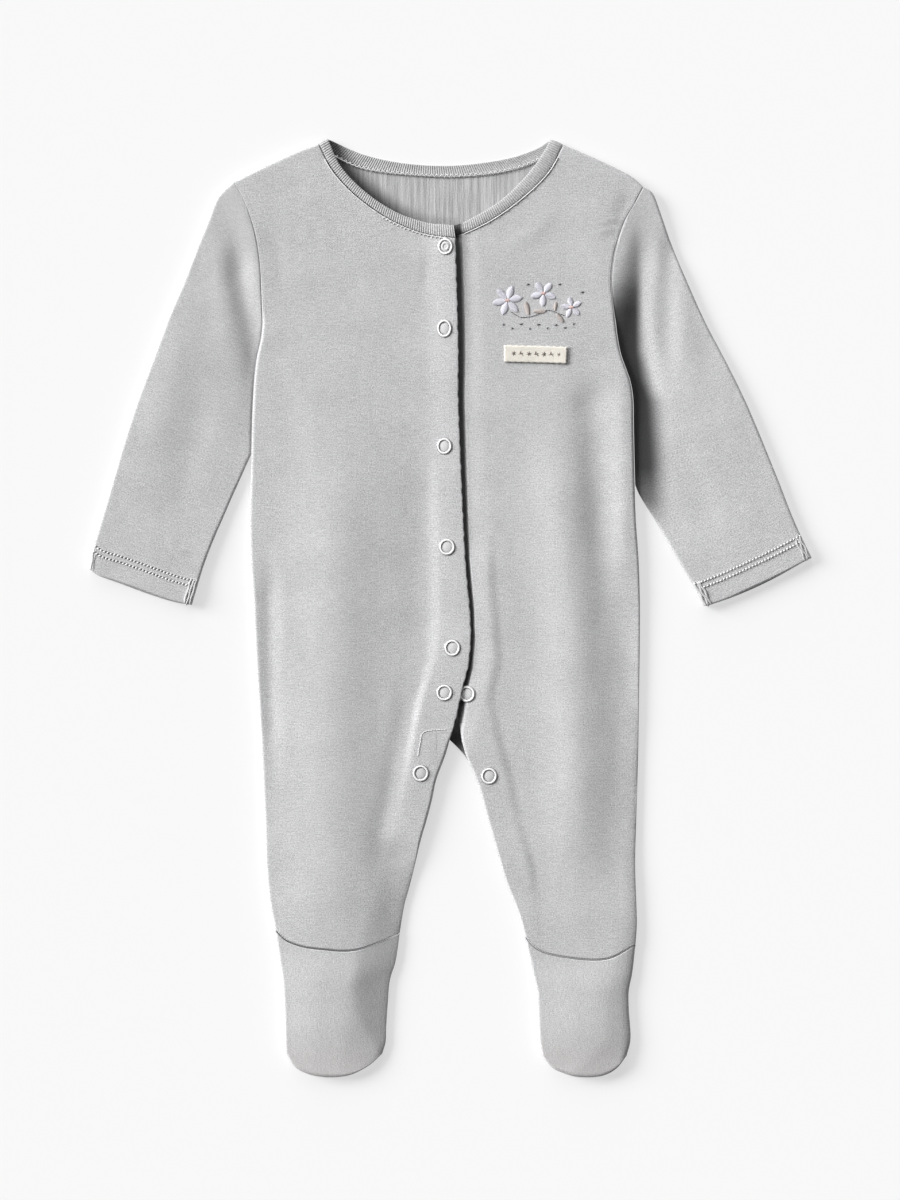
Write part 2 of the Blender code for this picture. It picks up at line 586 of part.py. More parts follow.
def back():
    """Whole back from shoulders to crotch, with the two legs welded below."""
    left, left_marks = joined(rounded(ARMHOLE_R), rounded(SIDE_R))
    right, right_marks = joined(rounded(ARMHOLE_L), rounded(SIDE_L))
    rows = rows_between(
        (0.0, 0.0, 1), (0.7, 0.7, 1), (2.5, 2.5, 1), (5.0, 5.0, 7),
        (left_marks[0], right_marks[0], 14), (left_marks[1], right_marks[1], 0),
    )
    top, top_marks = joined(rounded(SHOULDER_R), rounded(NECKLINE_BACK), rounded(SHOULDER_L))
    seat = np.array([SIDE_R[-1], INNER_LEG_R[0], SIDE_L[-1]])
    patch = Patch((left, right), rows, (top, seat), ROLL, 14, centre=True)
    neck_r, neck_l = patch.u[0, 6], patch.u[0, -7]
    inside = ease((patch.u - neck_r + 0.05) / 0.05) * ease((neck_l + 0.05 - patch.u) / 0.05)
    turn = side_turn(patch.y)
    z = np.maximum.reduce([
        BACK_RISE * turn * (1 - rise(patch.from_left, ROLL)),
        BACK_RISE * turn * (1 - rise(patch.from_right, ROLL)),
        BACK_RISE * (1 - inside) * (1 - rise(patch.from_top, ROLL)),
    ])
    lean = level_edges(patch, left=turn[:, 0], right=turn[:, -1], top=1 - inside[0])
    sewn = [turn[:, 0] < 0.1, turn[:, -1] < 0.1]
    line = seam_edges(patch, top=inside[0] > 0.95, left=sewn[0], right=sewn[1])
    body = sheet(patch, z, lean, underside=True, line=line)
    half = patch.u.shape[1] // 2
    legs = []
    for outer, inner, ankle, columns in (
        (OUTER_LEG_R, INNER_LEG_R, ANKLE_R, np.s_[: half + 1]),
        (OUTER_LEG_L, BACK_INNER_LEG_L, ANKLE_L, np.s_[half:]),
    ):
        first = np.column_stack([patch.xy[-1, columns], z[-1, columns]])
        legs.append(back_leg(first, rounded(outer), rounded(inner), rounded(ankle)))
    return welded([body] + legs)


def back_leg(seat, outer, inner, ankle):
    """One leg of the back: the body's last row carried down to the ankle."""
    first = seat[:, :2]
    on_right_leg = first[0, 0] < -50.0
    sides = (outer, inner) if on_right_leg else (inner, outer)
    count = 8
    t = np.linspace(0.0, 1.0, count + 1)
    a, b = at(sides[0], t * arc(sides[0])[-1]), at(sides[1], t * arc(sides[1])[-1])
    u = (arc(first) / arc(first)[-1])[None, :].repeat(count + 1, axis=0)
    width = np.linalg.norm(b - a, axis=1)
    edge = edge_columns(ROLL)
    for k in range(4):
        place = edge[k] / width
        if on_right_leg:
            u[:, k] = place
        else:
            u[:, -1 - k] = 1 - place
    u[0] = arc(first) / arc(first)[-1]
    if on_right_leg:
        u[1:, 3:] = np.linspace(u[1:, 3], 1.0, u.shape[1] - 3, axis=1)
    else:
        u[1:, : u.shape[1] - 3] = np.linspace(0.0, u[1:, -4], u.shape[1] - 3, axis=1)
    flat = (1 - u)[..., None] * a[:, None] + u[..., None] * b[:, None]
    chord = (1 - u)[..., None] * a[-1] + u[..., None] * b[-1]
    bulge = at(ankle, u * arc(ankle)[-1]) - chord
    leg = Patch.__new__(Patch)
    leg.u = u
    leg.xy = flat + t[:, None, None] ** 2 * bulge
    leg.xy[0] = first
    outward = u if on_right_leg else 1 - u
    z = BACK_RISE * (1 - rise(outward * width[:, None], ROLL))
    z[0] = seat[:, 2]
    if on_right_leg:
        lean = level_edges(leg, left=1.0)
    else:
        lean = level_edges(leg, right=1.0)
    lean[0] = 0.0
    return sheet(leg, z, lean, underside=True, line=seam_edges(leg, low=True))


def sleeve(armhole, side, outer, inner, cuff, table, outer_first):
    """A sleeve: upper and under layers joined along both folded edges.

    The layers part along the armhole. `outer_first` says that the outer fold is
    the left curve of the rows.
    """
    away = -SEAM_GAP if outer_first else SEAM_GAP
    scye = shifted(rounded(armhole), away)
    body_side = shifted(rounded(side), away)
    body_side = body_side[body_side[:, 1] > inner[0][1] + 7.0]
    seam, marks = joined(scye, body_side, rounded([body_side[-1]] + inner))
    start = 17.0
    seam_end, underarm = marks[2], marks[0]
    fold, _ = joined(rounded([scye[0]] + outer))
    fold_end = arc(fold)[-1]
    # rows: place on the folded outer edge, place on the armhole and inner edge
    keys = [
        (0.0, start, 1), (8.0, start + 8.0, 6), (72.0, underarm, 11),
        (fold_end - 10.0, seam_end - 10.0, 1), (fold_end, seam_end, 0),
    ]
    armhole_rows = 7
    first = at(seam, np.linspace(0.0, start, 9))
    count = sum(n for _, _, n in keys) + 1
    plain, rolled = np.array([0.0, 2.0, 4.0, 6.5]), edge_columns(SLEEVE_ROLL)
    seam_edge = [plain if row < armhole_rows else rolled for row in range(count)]
    if outer_first:
        curves, ends = (fold, seam), (first, rounded(cuff))
        tables = {"right_edge": seam_edge}
    else:
        keys = [(b, a, n) for a, b, n in keys]
        curves, ends = (seam, fold), (first[::-1], rounded(cuff))
        tables = {"left_edge": seam_edge}
    patch = Patch(curves, rows_between(*keys), ends, SLEEVE_ROLL, 7, **tables)
    from_fold, from_seam = patch.from_left, patch.from_right
    if not outer_first:
        from_fold, from_seam = from_seam, from_fold
    row = np.arange(len(patch.u))[:, None]
    turn = np.broadcast_to(np.where(row < armhole_rows, 0.0, 1.0), patch.x.shape)
    from_start = np.where(row < 2, row * 8.0, 99.0) + 0.0 * patch.from_top
    high = SLEEVE_TOP + creases(patch.x, patch.y, table)
    along_body = ease((patch.y - 60.0) / 40.0) * turn
    high = high - BESIDE_BODY * along_body * np.exp(-((from_seam / 14.0) ** 2))
    high = np.maximum(high, 2 * WALL + 1.5 * LAY_GAP)
    seam_low = (1 - turn) * (high - SEAM_DIP) + turn * SLEEVE_FOLD
    upper = edged(
        high, (from_seam, seam_low, SLEEVE_ROLL), (from_start, high - SEAM_DIP, SLEEVE_ROLL),
    )
    upper = np.minimum(upper, SLEEVE_FOLD + (upper - SLEEVE_FOLD) * rise(from_fold, SLEEVE_ROLL))
    lower = np.maximum(
        SLEEVE_FOLD * (1 - rise(from_fold, SLEEVE_ROLL)),
        SLEEVE_FOLD * turn * (1 - rise(from_seam, SLEEVE_ROLL)),
    )
    open_rows = row[:, 0] < armhole_rows
    sewn = {"right": open_rows} if outer_first else {"left": open_rows}
    line = seam_edges(patch, top=True, low=True, **sewn)
    line[0, 0 if outer_first else -1] = 0.0
    return welded([
        sheet(patch, upper, line=line), sheet(patch, lower, underside=True, line=line),
    ])


def foot(outer, inner, ankle, toe, outer_first, table=None):
    """Upper of one foot, with its leg's creases, or without a table its sole."""
    left, right = (outer, inner) if outer_first else (inner, outer)
    left, right = rounded(left), rounded(right)
    ankle_line = shifted(rounded(ankle), -0.7 * ANKLE_GAP) - [0.0, 0.7 * ANKLE_GAP]
    left, right = left.copy(), right.copy()
    left[0], right[0] = ankle_line[0], ankle_line[-1]
    a, b = arc(left)[-1], arc(right)[-1]
    rows = rows_between(
        (0.0, 0.0, 1), (3.0, 3.0, 4), (a - 5.0, b - 5.0, 1),
        (a - 2.5, b - 2.5, 1), (a - 0.7, b - 0.7, 1), (a, b, 0),
    )
    patch = Patch((left, right), rows, (ankle_line, rounded(toe)), ROLL, 6)
    edges = (patch.from_left, patch.from_right, patch.from_low)
    lean = level_edges(patch, left=1.0, right=1.0, low=1.0)
    line = seam_edges(patch, top=True)
    if table:
        z = FOOT_TOP + creases(patch.x, patch.y, table)
        z -= (FOOT_TOP - FRONT_TOP) * ease((40.0 - patch.from_top) / 40.0)
        inward = np.minimum.reduce([*edges, patch.from_top])
        z += FOOT_CROWN * ease(inward / CROWN_REACH)
        rounds = [(e, FRONT_FALL, ROLL) for e in edges]
        z = edged(z, (patch.from_top, z - SEAM_DIP, ROLL), *rounds)
        return sheet(patch, z, lean, line=line)
    z = np.maximum.reduce([BACK_RISE * (1 - rise(e, ROLL)) for e in edges])
    return sheet(patch, z, lean, underside=True, line=line)


def neck_binding():
    """One folded strip round the neck, turning over at both shoulders."""
    turn = np.array([0.0, 1.2, SLEEVE_ROLL])
    parts = []
    for free, seam, span, height in (
        (BAND_EDGE_R[::-1], NECKLINE_R[::-1], "front", top_front_height),
        (BAND_EDGE_BACK, NECKLINE_BACK, "back", None),
        (BAND_EDGE_L, NECKLINE_L, "front_down", under_front_height),
    ):
        free, seam = rounded(free), rounded(seam)
        longest = arc(free)[-1]
        count = int(round(longest / 9.0))
        if span == "front":
            t = np.concatenate([np.linspace(0, longest - turn[-1], count), longest - turn[-2::-1]])
            from_turn = longest - t
        elif span == "back":
            middle = np.linspace(turn[-1], longest - turn[-1], count)
            t = np.concatenate([turn[1:-1], middle, longest - turn[-2:0:-1]])
            from_turn = np.minimum(t, longest - t)
        else:
            t = np.concatenate([turn[:-1], np.linspace(turn[-1], longest, count)])
            from_turn = t
        a = at(free, t)
        b = at(seam, t / longest * arc(seam)[-1])
        near = b + (a - b) * ((1.6 if height is None else 1.1) * SEAM_GAP / np.linalg.norm(a - b, axis=1, keepdims=True))
        rows = []
        for share, crown in ((0.0, 0.0), (0.5, 0.45), (1.0, 0.1)):
            xy = near + share * (a - near)
            if height is None:
                z = SLEEVE_FOLD * (1 - rise(from_turn, SLEEVE_ROLL))
            else:
                flat = np.maximum(height(xy[:, 0], xy[:, 1]) - 0.5 + crown, UNDERLAP_TOP + 0.5 * crown)
                z = SLEEVE_FOLD + (flat - SLEEVE_FOLD) * rise(from_turn, SLEEVE_ROLL)
            rows.append(np.column_stack([xy, z]))
        parts.append(np.stack(rows))
    grid = np.concatenate(parts, axis=1)
    index = np.arange(grid.shape[0] * grid.shape[1]).reshape(grid.shape[:2])
    quads = np.stack([index[:-1, :-1], index[:-1, 1:], index[1:, 1:], index[1:, :-1]], axis=-1)
    points = grid.reshape(-1, 3)
    return points, quads.reshape(-1, 4)[:, ::-1], np.zeros((len(points), 5)), np.full(len(points), WALL)


def popper(panel, x, y):
    """A ring cap whose base follows the panel under it."""
    section = [
        (RING_OUTER, 0.0), (RING_OUTER - 0.1, 0.55), (RING_OUTER - 0.65, RING_HEIGHT),
        (RING_INNER + 0.45, RING_HEIGHT * 0.9), (RING_INNER, 0.3), (RING_INNER, 0.0),
    ]
    angle = 2 * np.pi * np.arange(RING_SEGMENTS) / RING_SEGMENTS
    points = []
    for t in angle:
        for radius, height in section:
            px, py = x + radius * np.cos(t), y + radius * np.sin(t)
            points.append((px, py, surface_height(panel, px, py) + LAY_GAP + height))
    n, m = RING_SEGMENTS, len(section)
    index = np.arange(n * m).reshape(n, m)
    after, up = np.roll(index, -1, axis=0), np.roll(index, -1, axis=1)
    both = np.roll(after, -1, axis=1)
    quads = np.stack([index, after, both, up], axis=-1).reshape(-1, 4)
    return np.array(points), triangles(quads)


def chest_tab(panel):
    """A small plain woven tab lying on the wearer's left chest."""
    corners = np.array(TAB_CORNERS)
    cols, rows = 7, 4
    points = []
    for v in np.linspace(0, 1, rows):
        for u in np.linspace(0, 1, cols):
            upper = (1 - u) * corners[0] + u * corners[1]
            lower = (1 - u) * corners[3] + u * corners[2]
            px, py = (1 - v) * upper + v * lower
            points.append((px, py, surface_height(panel, px, py) + LAY_GAP + TAB_WALL))
    index = np.arange(rows * cols).reshape(rows, cols)
    quads = np.stack([index[:-1, :-1], index[1:, :-1], index[1:, 1:], index[:-1, 1:]], axis=-1)
    points = np.array(points)
    return points, quads.reshape(-1, 4), np.zeros((len(points), 5)), np.full(len(points), TAB_WALL)


# --------------------------------------------------------------------- output
def material(name, colour, roughness):
    made = bpy.data.materials.new(name)
    made.use_nodes = True
    shader = made.node_tree.nodes["Principled BSDF"]
    shader.inputs["Base Color"].default_value = colour
    shader.inputs["Roughness"].default_value = roughness
    return made


def add_solid(name, points, faces, look):
    mesh = bpy.data.meshes.new(name)
    mesh.from_pydata((points * 0.001).tolist(), [], faces.tolist())
    mesh.update()
    mesh.materials.append(look)
    made = bpy.data.objects.new(name, mesh)
    bpy.context.scene.collection.objects.link(made)
    print(name, len(faces), "triangles")


def main():
    for old in list(bpy.data.objects):
        bpy.data.objects.remove(old, do_unlink=True)
    surfaces = {
        "back": back(),
        "front_right": front_right(),
        "front_left": front_left(),
        "sleeve_right": sleeve(
            ARMHOLE_R, SIDE_R, SLEEVE_OUTER_R, SLEEVE_INNER_R, CUFF_R, CREASES_SLEEVE_R, True,
        ),
        "sleeve_left": sleeve(
            ARMHOLE_L, SIDE_L, SLEEVE_OUTER_L, SLEEVE_INNER_L, CUFF_L, CREASES_SLEEVE_L, False,
        ),
        "foot_top_right": foot(
            FOOT_OUTER_R, FOOT_INNER_R, ANKLE_R, TOE_R, True, CREASES_R,
        ),
        "foot_top_left": foot(
            FOOT_OUTER_L, FOOT_INNER_L, ANKLE_L, TOE_L, False, CREASES_L,
        ),
        "foot_sole_right": foot(FOOT_OUTER_R, FOOT_INNER_R, ANKLE_R, TOE_R, True),
        "foot_sole_left": foot(FOOT_OUTER_L, FOOT_INNER_L, ANKLE_L, TOE_L, False),
        "neck_binding": neck_binding(),
    }
    surfaces["chest_tab"] = chest_tab(surfaces["front_left"])
    for name, surface in surfaces.items():
        colour = CREAM if name == "chest_tab" else COTTON
        add_solid(name, *shell([surface]), material(name + "_cloth", colour, 0.95))
    for number, x, y, panel in POPPERS:
        points, faces = popper(surfaces[panel], x, y)
        name = "popper_" + str(number)
        add_solid(name, points, faces, material(name + "_cap", PEARL, 0.35))


main()
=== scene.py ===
# %% [markdown]
# # A footed sleepsuit in grey cotton interlock, laid flat
# The garment is a soft flat thing: two knitted layers, a few millimetres of air
# between them, and edges that roll over. Each cell below makes one piece or one
# finish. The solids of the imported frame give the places; the pieces here are
# thin shells on the same forms with finer creases, seams and stitches.

# %% Open the frame
import bpy
import numpy as np
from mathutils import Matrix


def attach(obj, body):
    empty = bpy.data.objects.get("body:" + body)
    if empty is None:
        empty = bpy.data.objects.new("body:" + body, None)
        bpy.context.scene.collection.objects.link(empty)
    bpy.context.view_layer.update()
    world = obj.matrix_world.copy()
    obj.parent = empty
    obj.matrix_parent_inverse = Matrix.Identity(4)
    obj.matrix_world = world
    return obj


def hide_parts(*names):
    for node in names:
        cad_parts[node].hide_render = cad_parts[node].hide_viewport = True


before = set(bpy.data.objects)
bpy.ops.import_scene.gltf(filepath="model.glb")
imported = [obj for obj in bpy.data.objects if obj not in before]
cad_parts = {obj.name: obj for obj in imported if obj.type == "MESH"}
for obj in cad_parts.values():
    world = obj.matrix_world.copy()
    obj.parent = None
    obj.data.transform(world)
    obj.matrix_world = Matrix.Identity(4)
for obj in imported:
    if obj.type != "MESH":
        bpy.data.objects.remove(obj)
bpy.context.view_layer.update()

# %% [markdown]
# ## Sizes
# Lengths are written in millimetres, as on a maker's pattern, and turned into
# metres once, when a mesh is written. X runs towards the wearer's left, Y towards
# the neck and Z up from the table. One layer of interlock is about 0.8 mm thick,
# and the faced front band is two layers.

# %% Sizes
MM = 0.001
WALL = 0.8            # one layer of interlock
FACED_WALL = 1.7      # front band and hems, two layers
BINDING_WALL = 1.5    # folded neck strip
FRONT_TOP = 5.3       # outer face of the front above the table
FOOT_TOP = 5.8
FOOT_CROWN = 1.3      # how much fuller a foot is in its middle
CROWN_REACH = 24.0    # and how far from its edges it is that full
SLEEVE_TOP = 5.0
SLEEVE_LOWEST = 1.8   # an upper sleeve layer that sinks onto the lower one
UNDER_DEEP = 1.9      # wearer's left front where the right one lies over it
BACK_RISE = 2.9       # edge heights where front and back roll to meet
FRONT_FALL = 3.0
LEG_FALL = 1.8        # front edge on the inside leg
SLEEVE_FOLD = 2.5
SEAM_DIP = 0.75       # a seam draws the cloth in this far
SEAM_ROLL = 2.0       # over this width
ANKLE_DIP = 0.6       # the same at the ankle
ANKLE_ROLL = 1.4
ROLL = 2.3            # width over which an edge rolls over
SLEEVE_ROLL = 2.2
FREE_ROLL = 1.2       # the same on a front's free edge, which is pressed
FREE_DIP = 0.5        # and draws in this far
SLEEVE_AWAY = 0.35    # sleeve and body meet at a seam with this gap
ANKLE_AWAY = 0.35     # and so do leg and foot
CROTCH_Y = -75.0
UNDERARM_Y = 163.0
RIB_PERIOD = 1.3      # neck rib
CELL = 1.3            # usual spacing of a panel's points
FINE_CELL = 0.6       # where an edge rolls
SEAM_CELL = 0.5       # where a seam dips
TOP_CELL = 0.35       # at the shoulder
print("interlock wall", WALL, "mm, faced band", FACED_WALL, "mm")

# %% [markdown]
# ## Outlines
# A knitted panel is cut along smooth lines through a few measured points. These
# tables hold only the points that each line needs, from the shoulder down. The
# wearer's right half lies at negative X.

# %% Outline tables, (x, y) in mm
SHOULDER_R = [(-123.5, 243.5), (-111.5, 249.5), (-99, 255.5), (-86.5, 261), (-75.5, 265)]
SHOULDER_L = [(64.5, 264.4), (85, 255.5), (102, 247), (110, 240.5)]
ARMHOLE_R = [
    (-123.5, 243.5), (-118, 234), (-114, 223.5), (-111, 213), (-109, 201), (-108, 189.5),
    (-107.5, 175.5), (-107, 163),
]
ARMHOLE_L = [
    (110, 240.5), (105, 231), (100, 222.5), (96.5, 213.5), (93.3, 202.5), (91.7, 191.5),
    (91.7, 182), (92.7, 172.5), (94, 163),
]
SIDE_R = [
    (-107, 163), (-108, 153.5), (-110.5, 142), (-112, 128), (-113, 107.5), (-113.5, 87.5),
    (-114.5, 50.5), (-114, 27.5), (-112.5, 5), (-111.5, -18), (-109.5, -52), (-108, -75),
]
SIDE_L = [
    (94, 163), (95, 155), (97, 145), (100, 136.5), (102.5, 129), (104, 118.5), (104.3, 100),
    (105, 70.5), (105.7, 50.5), (107.3, 27.5), (108, 5), (108, -18), (107.5, -52), (107.2, -75),
]
OUTER_LEG_R = [
    (-108, -75), (-107, -98), (-106, -120.5), (-105.3, -143.5), (-104, -160.5), (-102, -173),
    (-100, -183),
]
OUTER_LEG_L = [
    (107.2, -75), (106.7, -95), (106, -118.5), (105.3, -145), (106, -168), (106.3, -180),
    (105.5, -191.5),
]
INNER_LEG_R = [
    (-0.5, -75), (-3, -84), (-8, -97.5), (-10.5, -109), (-13.5, -120.5), (-17, -132.5),
    (-20, -145), (-23.5, -159), (-26.5, -170), (-29, -185),
]
INNER_LEG_L = [
    (6.5, -76), (9.2, -85), (15.5, -100), (21, -120), (25.5, -135.5), (31, -154), (35.5, -165),
    (39.5, -176), (42.5, -187),
]
BACK_INNER_LEG_L = [(-0.5, -75), (5.6, -81), (10, -87)] + INNER_LEG_L[2:]
ANKLE_R = [
    (-100, -183), (-93.5, -189), (-83.5, -192.7), (-71.5, -194.2), (-61, -195), (-51.5, -194),
    (-41, -190.3), (-29, -185),
]
ANKLE_L = [
    (42.5, -187), (47.5, -192.5), (53.5, -196), (63, -198.3), (76.5, -200), (87, -200),
    (94, -198), (100, -194.6), (105.5, -191.5),
]
FOOT_OUTER_R = [
    (-100, -183), (-98, -197.5), (-96, -211), (-95, -227), (-94.5, -242.5), (-94, -253),
]
FOOT_INNER_R = [
    (-29, -185), (-31.2, -200.5), (-34.6, -212), (-35.7, -223.5), (-36.7, -238.5), (-37, -247),
    (-39, -254),
]
TOE_R = [
    (-94, -253), (-89, -261.3), (-81.5, -265.5), (-71.5, -267.4), (-61, -267), (-53.5, -264.7),
    (-45.5, -260), (-39, -254),
]
FOOT_INNER_L = [
    (42.5, -187), (46.5, -206), (49.2, -218.5), (49.7, -231.5), (50.5, -245.5), (52.5, -255),
]
FOOT_OUTER_L = [
    (105.5, -191.5), (103.7, -207.5), (101.7, -218), (101.7, -228.5), (102.7, -245),
    (100.5, -255),
]
TOE_L = [
    (52.5, -255), (58, -262), (66, -265.6), (74, -267.4), (86, -266.8), (94.5, -262.6),
    (100.5, -255),
]
NECKLINE_R = [
    (-75.5, 265), (-68, 250.5), (-55.5, 236.5), (-38, 223.5), (-21, 215.5), (-8.5, 212.3),
    (2.8, 211),
]
NECKLINE_L = [
    (64.5, 264.4), (56, 249), (42, 235), (25, 222.5), (9, 214.5), (-2.5, 211),
]
NECKLINE_BACK = [
    (-75.5, 265), (-64, 257), (-52, 251.7), (-38, 249), (-17.5, 247.2), (2, 246.6), (23, 248.2),
    (40.5, 252), (54, 258), (64.5, 264.4),
]
BAND_EDGE_R = [
    (-70, 267.9), (-62.5, 252), (-48.5, 237.5), (-31, 226), (-13.5, 220), (-3, 218.8),
    (1.8, 218.2),
]
BAND_EDGE_L = [
    (57, 267.4), (51, 256.8), (40.5, 243.8), (27, 231.5), (9, 221), (-2.5, 217.5),
]
BAND_EDGE_BACK = [
    (-70, 267.9), (-52, 259.8), (-34.5, 255.3), (-17, 253.1), (0.5, 252.7), (17.5, 254.2),
    (35, 257.3), (49, 262.3), (57, 267.4),
]
FRONT_EDGE = [      # free edge of the wearer's right front, lying on top
    (2.8, 211), (3.1, 200), (3.5, 187), (4.5, 147.5), (4.5, 119), (6, 79), (8.5, 27.5),
    (11, -0.5), (11.5, -18), (10, -33.5), (7.7, -42), (6, -49.5), (3, -63), (-0.5, -75),
]
UNDER_EDGE = [      # hidden edge of the wearer's left front
    (-2.5, 211), (-6, 176), (-6, 119), (-5.5, 62), (-4.5, 5), (-3, -23.5), (-0.5, -41), (3, -55),
    (4.8, -65), (6.5, -76),
]
SLEEVE_OUTER_R = [
    (-129.5, 238.5), (-134, 232.5), (-138, 222), (-143, 210), (-152, 187), (-161.5, 164.5),
    (-170, 141.5), (-178.5, 119), (-186, 96), (-193, 72), (-200.5, 46.5), (-204.3, 33.5),
    (-206, 22.5),
]
SLEEVE_INNER_R = [
    (-117, 80.5), (-121, 71.5), (-125.5, 61.5), (-130, 51), (-135, 39.5), (-140.2, 26),
    (-143.7, 15), (-147.5, 2),
]
CUFF_R = [
    (-206, 22.5), (-201, 18.8), (-190.5, 15.5), (-179, 11.5), (-162, 5.3), (-153, 2.8),
    (-147.5, 2),
]
SLEEVE_OUTER_L = [
    (115.5, 236.5), (119.5, 226.5), (126.5, 206.5), (136, 184), (145.5, 163), (156.5, 142),
    (166, 123), (174, 105), (187, 73), (193, 57.5), (198.5, 44.5), (206, 29),
]
SLEEVE_INNER_L = [
    (108.5, 63.5), (119, 46.5), (129.5, 28), (138.5, 13), (144.5, 1.5),
]
CUFF_L = [(144.5, 1.5), (148, 2), (160, 6.5), (175.5, 13.5), (190, 20.5), (206, 29)]
print("from shoulder to toe", SHOULDER_R[-1][1] - TOE_R[3][1], "mm")

# %% [markdown]
# ## Curves
# A pattern cutter draws a curve through points with a bent ruler. A Catmull-Rom
# curve does the same: each stretch is a cubic that leaves one point in the
# direction of its neighbours. Lengths along the curve let seams on two pieces be
# matched, as a maker matches notches.

# %% Curve tools
def rounded(points, steps=8):
    """Catmull-Rom curve: a cubic between each two points, tangent to their neighbours' chord."""
    given = np.asarray(points, float)
    ends = np.vstack([2 * given[0] - given[1], given, 2 * given[-1] - given[-2]])
    a, b, c, d = (ends[k: len(ends) - 3 + k, None] for k in range(4))
    t = (np.arange(steps) / steps)[None, :, None]
    cubic = -a + 3 * b - 3 * c + d
    square = 2 * a - 5 * b + 4 * c - d
    curve = 0.5 * (2 * b + (c - a) * t + square * t**2 + cubic * t**3)
    return np.vstack([curve.reshape(-1, given.shape[1]), given[-1:]])


def arc(curve):
    """Length along the curve: running sum of the distances between its points."""
    return np.concatenate([[0.0], np.cumsum(np.linalg.norm(np.diff(curve, axis=0), axis=1))])


def at(curve, lengths):
    """Points of the curve at the given lengths, straight between its own points."""
    along = arc(curve)
    return np.stack([np.interp(lengths, along, column) for column in curve.T], axis=-1)


def joined(*curves):
    """Curves end to end, and the lengths at which each one ends."""
    chain = np.vstack([curves[0]] + [c[1:] for c in curves[1:]])
    return chain, np.cumsum([arc(c)[-1] for c in curves])


def length_at_y(curve, y):
    """Length at which a falling curve passes the height y."""
    return np.interp(-y, -curve[:, 1], arc(curve))


def beside(curve, distance):
    """The curve moved to its left: each point goes along the normal of its tangent."""
    step = np.gradient(curve, axis=0)
    step /= np.linalg.norm(step, axis=1, keepdims=True)
    return curve + distance * np.stack([-step[:, 1], step[:, 0]], axis=1)


print("front edge is", round(arc(rounded(FRONT_EDGE))[-1]), "mm long")

# %% [markdown]
# ## Heights
# Laid cloth is described well by its height above the table. An edge that rolls
# over is a quarter of a squarish ellipse, a crease is a soft bell across a line,
# and a few slow waves are the small unevenness of any laid garment. Sculpting or a
# cloth simulation could give the same, but a height rule keeps each crease where
# it is wanted.

# %% Height tools
def ease(t):
    """Smooth step from 0 to 1: three t squared less two t cubed."""
    t = np.clip(t, 0.0, 1.0)
    return t * t * (3 - 2 * t)


def rise(distance, reach, power=3.2):
    """Quarter of a squarish ellipse: 0 at an edge, 1 from `reach` inwards."""
    q = np.clip(1 - distance / reach, 0.0, 1.0)
    return (1 - q**power) ** (1 / power)


def between(pair, t):
    """From a pair's first value to its second, straight, as t goes from 0 to 1."""
    return pair[0] + (pair[1] - pair[0]) * t


def bell(distance, width):
    """Bell curve: e to the minus square of distance over width."""
    return np.exp(-((distance / width) ** 2))


def from_line(x, y, line):
    """Distance to the nearest stretch of a line, and the length along it at that place."""
    line = np.asarray(line, float)
    a, d = line[:-1], np.diff(line, axis=0)
    dx, dy = x[..., None] - a[:, 0], y[..., None] - a[:, 1]
    t = np.clip((dx * d[:, 0] + dy * d[:, 1]) / np.sum(d * d, axis=1), 0.0, 1.0)
    gap = np.hypot(dx - t * d[:, 0], dy - t * d[:, 1])
    nearest = np.argmin(gap, axis=-1)[..., None]
    along = arc(line)[:-1] + t * np.linalg.norm(d, axis=1)
    return tuple(np.take_along_axis(found, nearest, -1)[..., 0] for found in (gap, along))


CREASE_FADE = 0.25   # share of a crease's length over which it fades at each end
CREASE_ENDS = 0.15   # share of its height that is left there


def creases(x, y, table):
    """Sum over the table of height times a bell across each line, fading to its two ends."""
    total = np.zeros_like(x)
    for width, height, line in table:
        gap, along = from_line(x, y, line)
        whole = arc(np.asarray(line, float))[-1]
        stretch = CREASE_FADE * whole
        fade = ease(along / stretch) * ease((whole - along) / stretch)
        total += height * bell(gap, width) * between((CREASE_ENDS, 1.0), fade)
    return total


# waves of the laid cloth: height, then turns per mm along X and Y and phase of one
# sine, and the same of the other
WAVES = [
    (0.10, 0.061, 0.047, 1.0, -0.043, 0.055, 0.0),
    (0.07, 0.113, -0.089, 2.1, 0.075, 0.101, 0.4),
    (0.035, 0.172, 0.211, 0.0, 0.193, -0.137, 0.6),
    (0.015, 0.391, 0.323, 0.9, -0.287, 0.413, 1.7),
]


def settled(x, y):
    """Small unevenness: a sum of slow waves, each the product of two sines."""
    return sum(
        h * np.sin(a * x + b * y + c) * np.sin(d * x + e * y + f)
        for h, a, b, c, d, e, f in WAVES
    )


def edged(z, *edges):
    """Height rolled down at each edge: least of edge height plus the rest times its rise.

    An edge is distance, edge height, reach and, where it isn't the usual one, power.
    """
    rolled = [low + (z - low) * rise(gap, *roll) for gap, low, *roll in edges]
    return np.minimum.reduce(rolled + [z])


print("unevenness up to", round(sum(w[0] for w in WAVES), 2), "mm")

# %% [markdown]
# ## Where the creases lie
# A laid leg is a low half-round: the cloth climbs from the outer edge to a crest
# and falls again towards the inside. Beside the faced front band it sinks, because
# the band is two layers and stiffer. At the underarms the sleeves fold under the
# body. Rows give width, height and the line, all in mm.

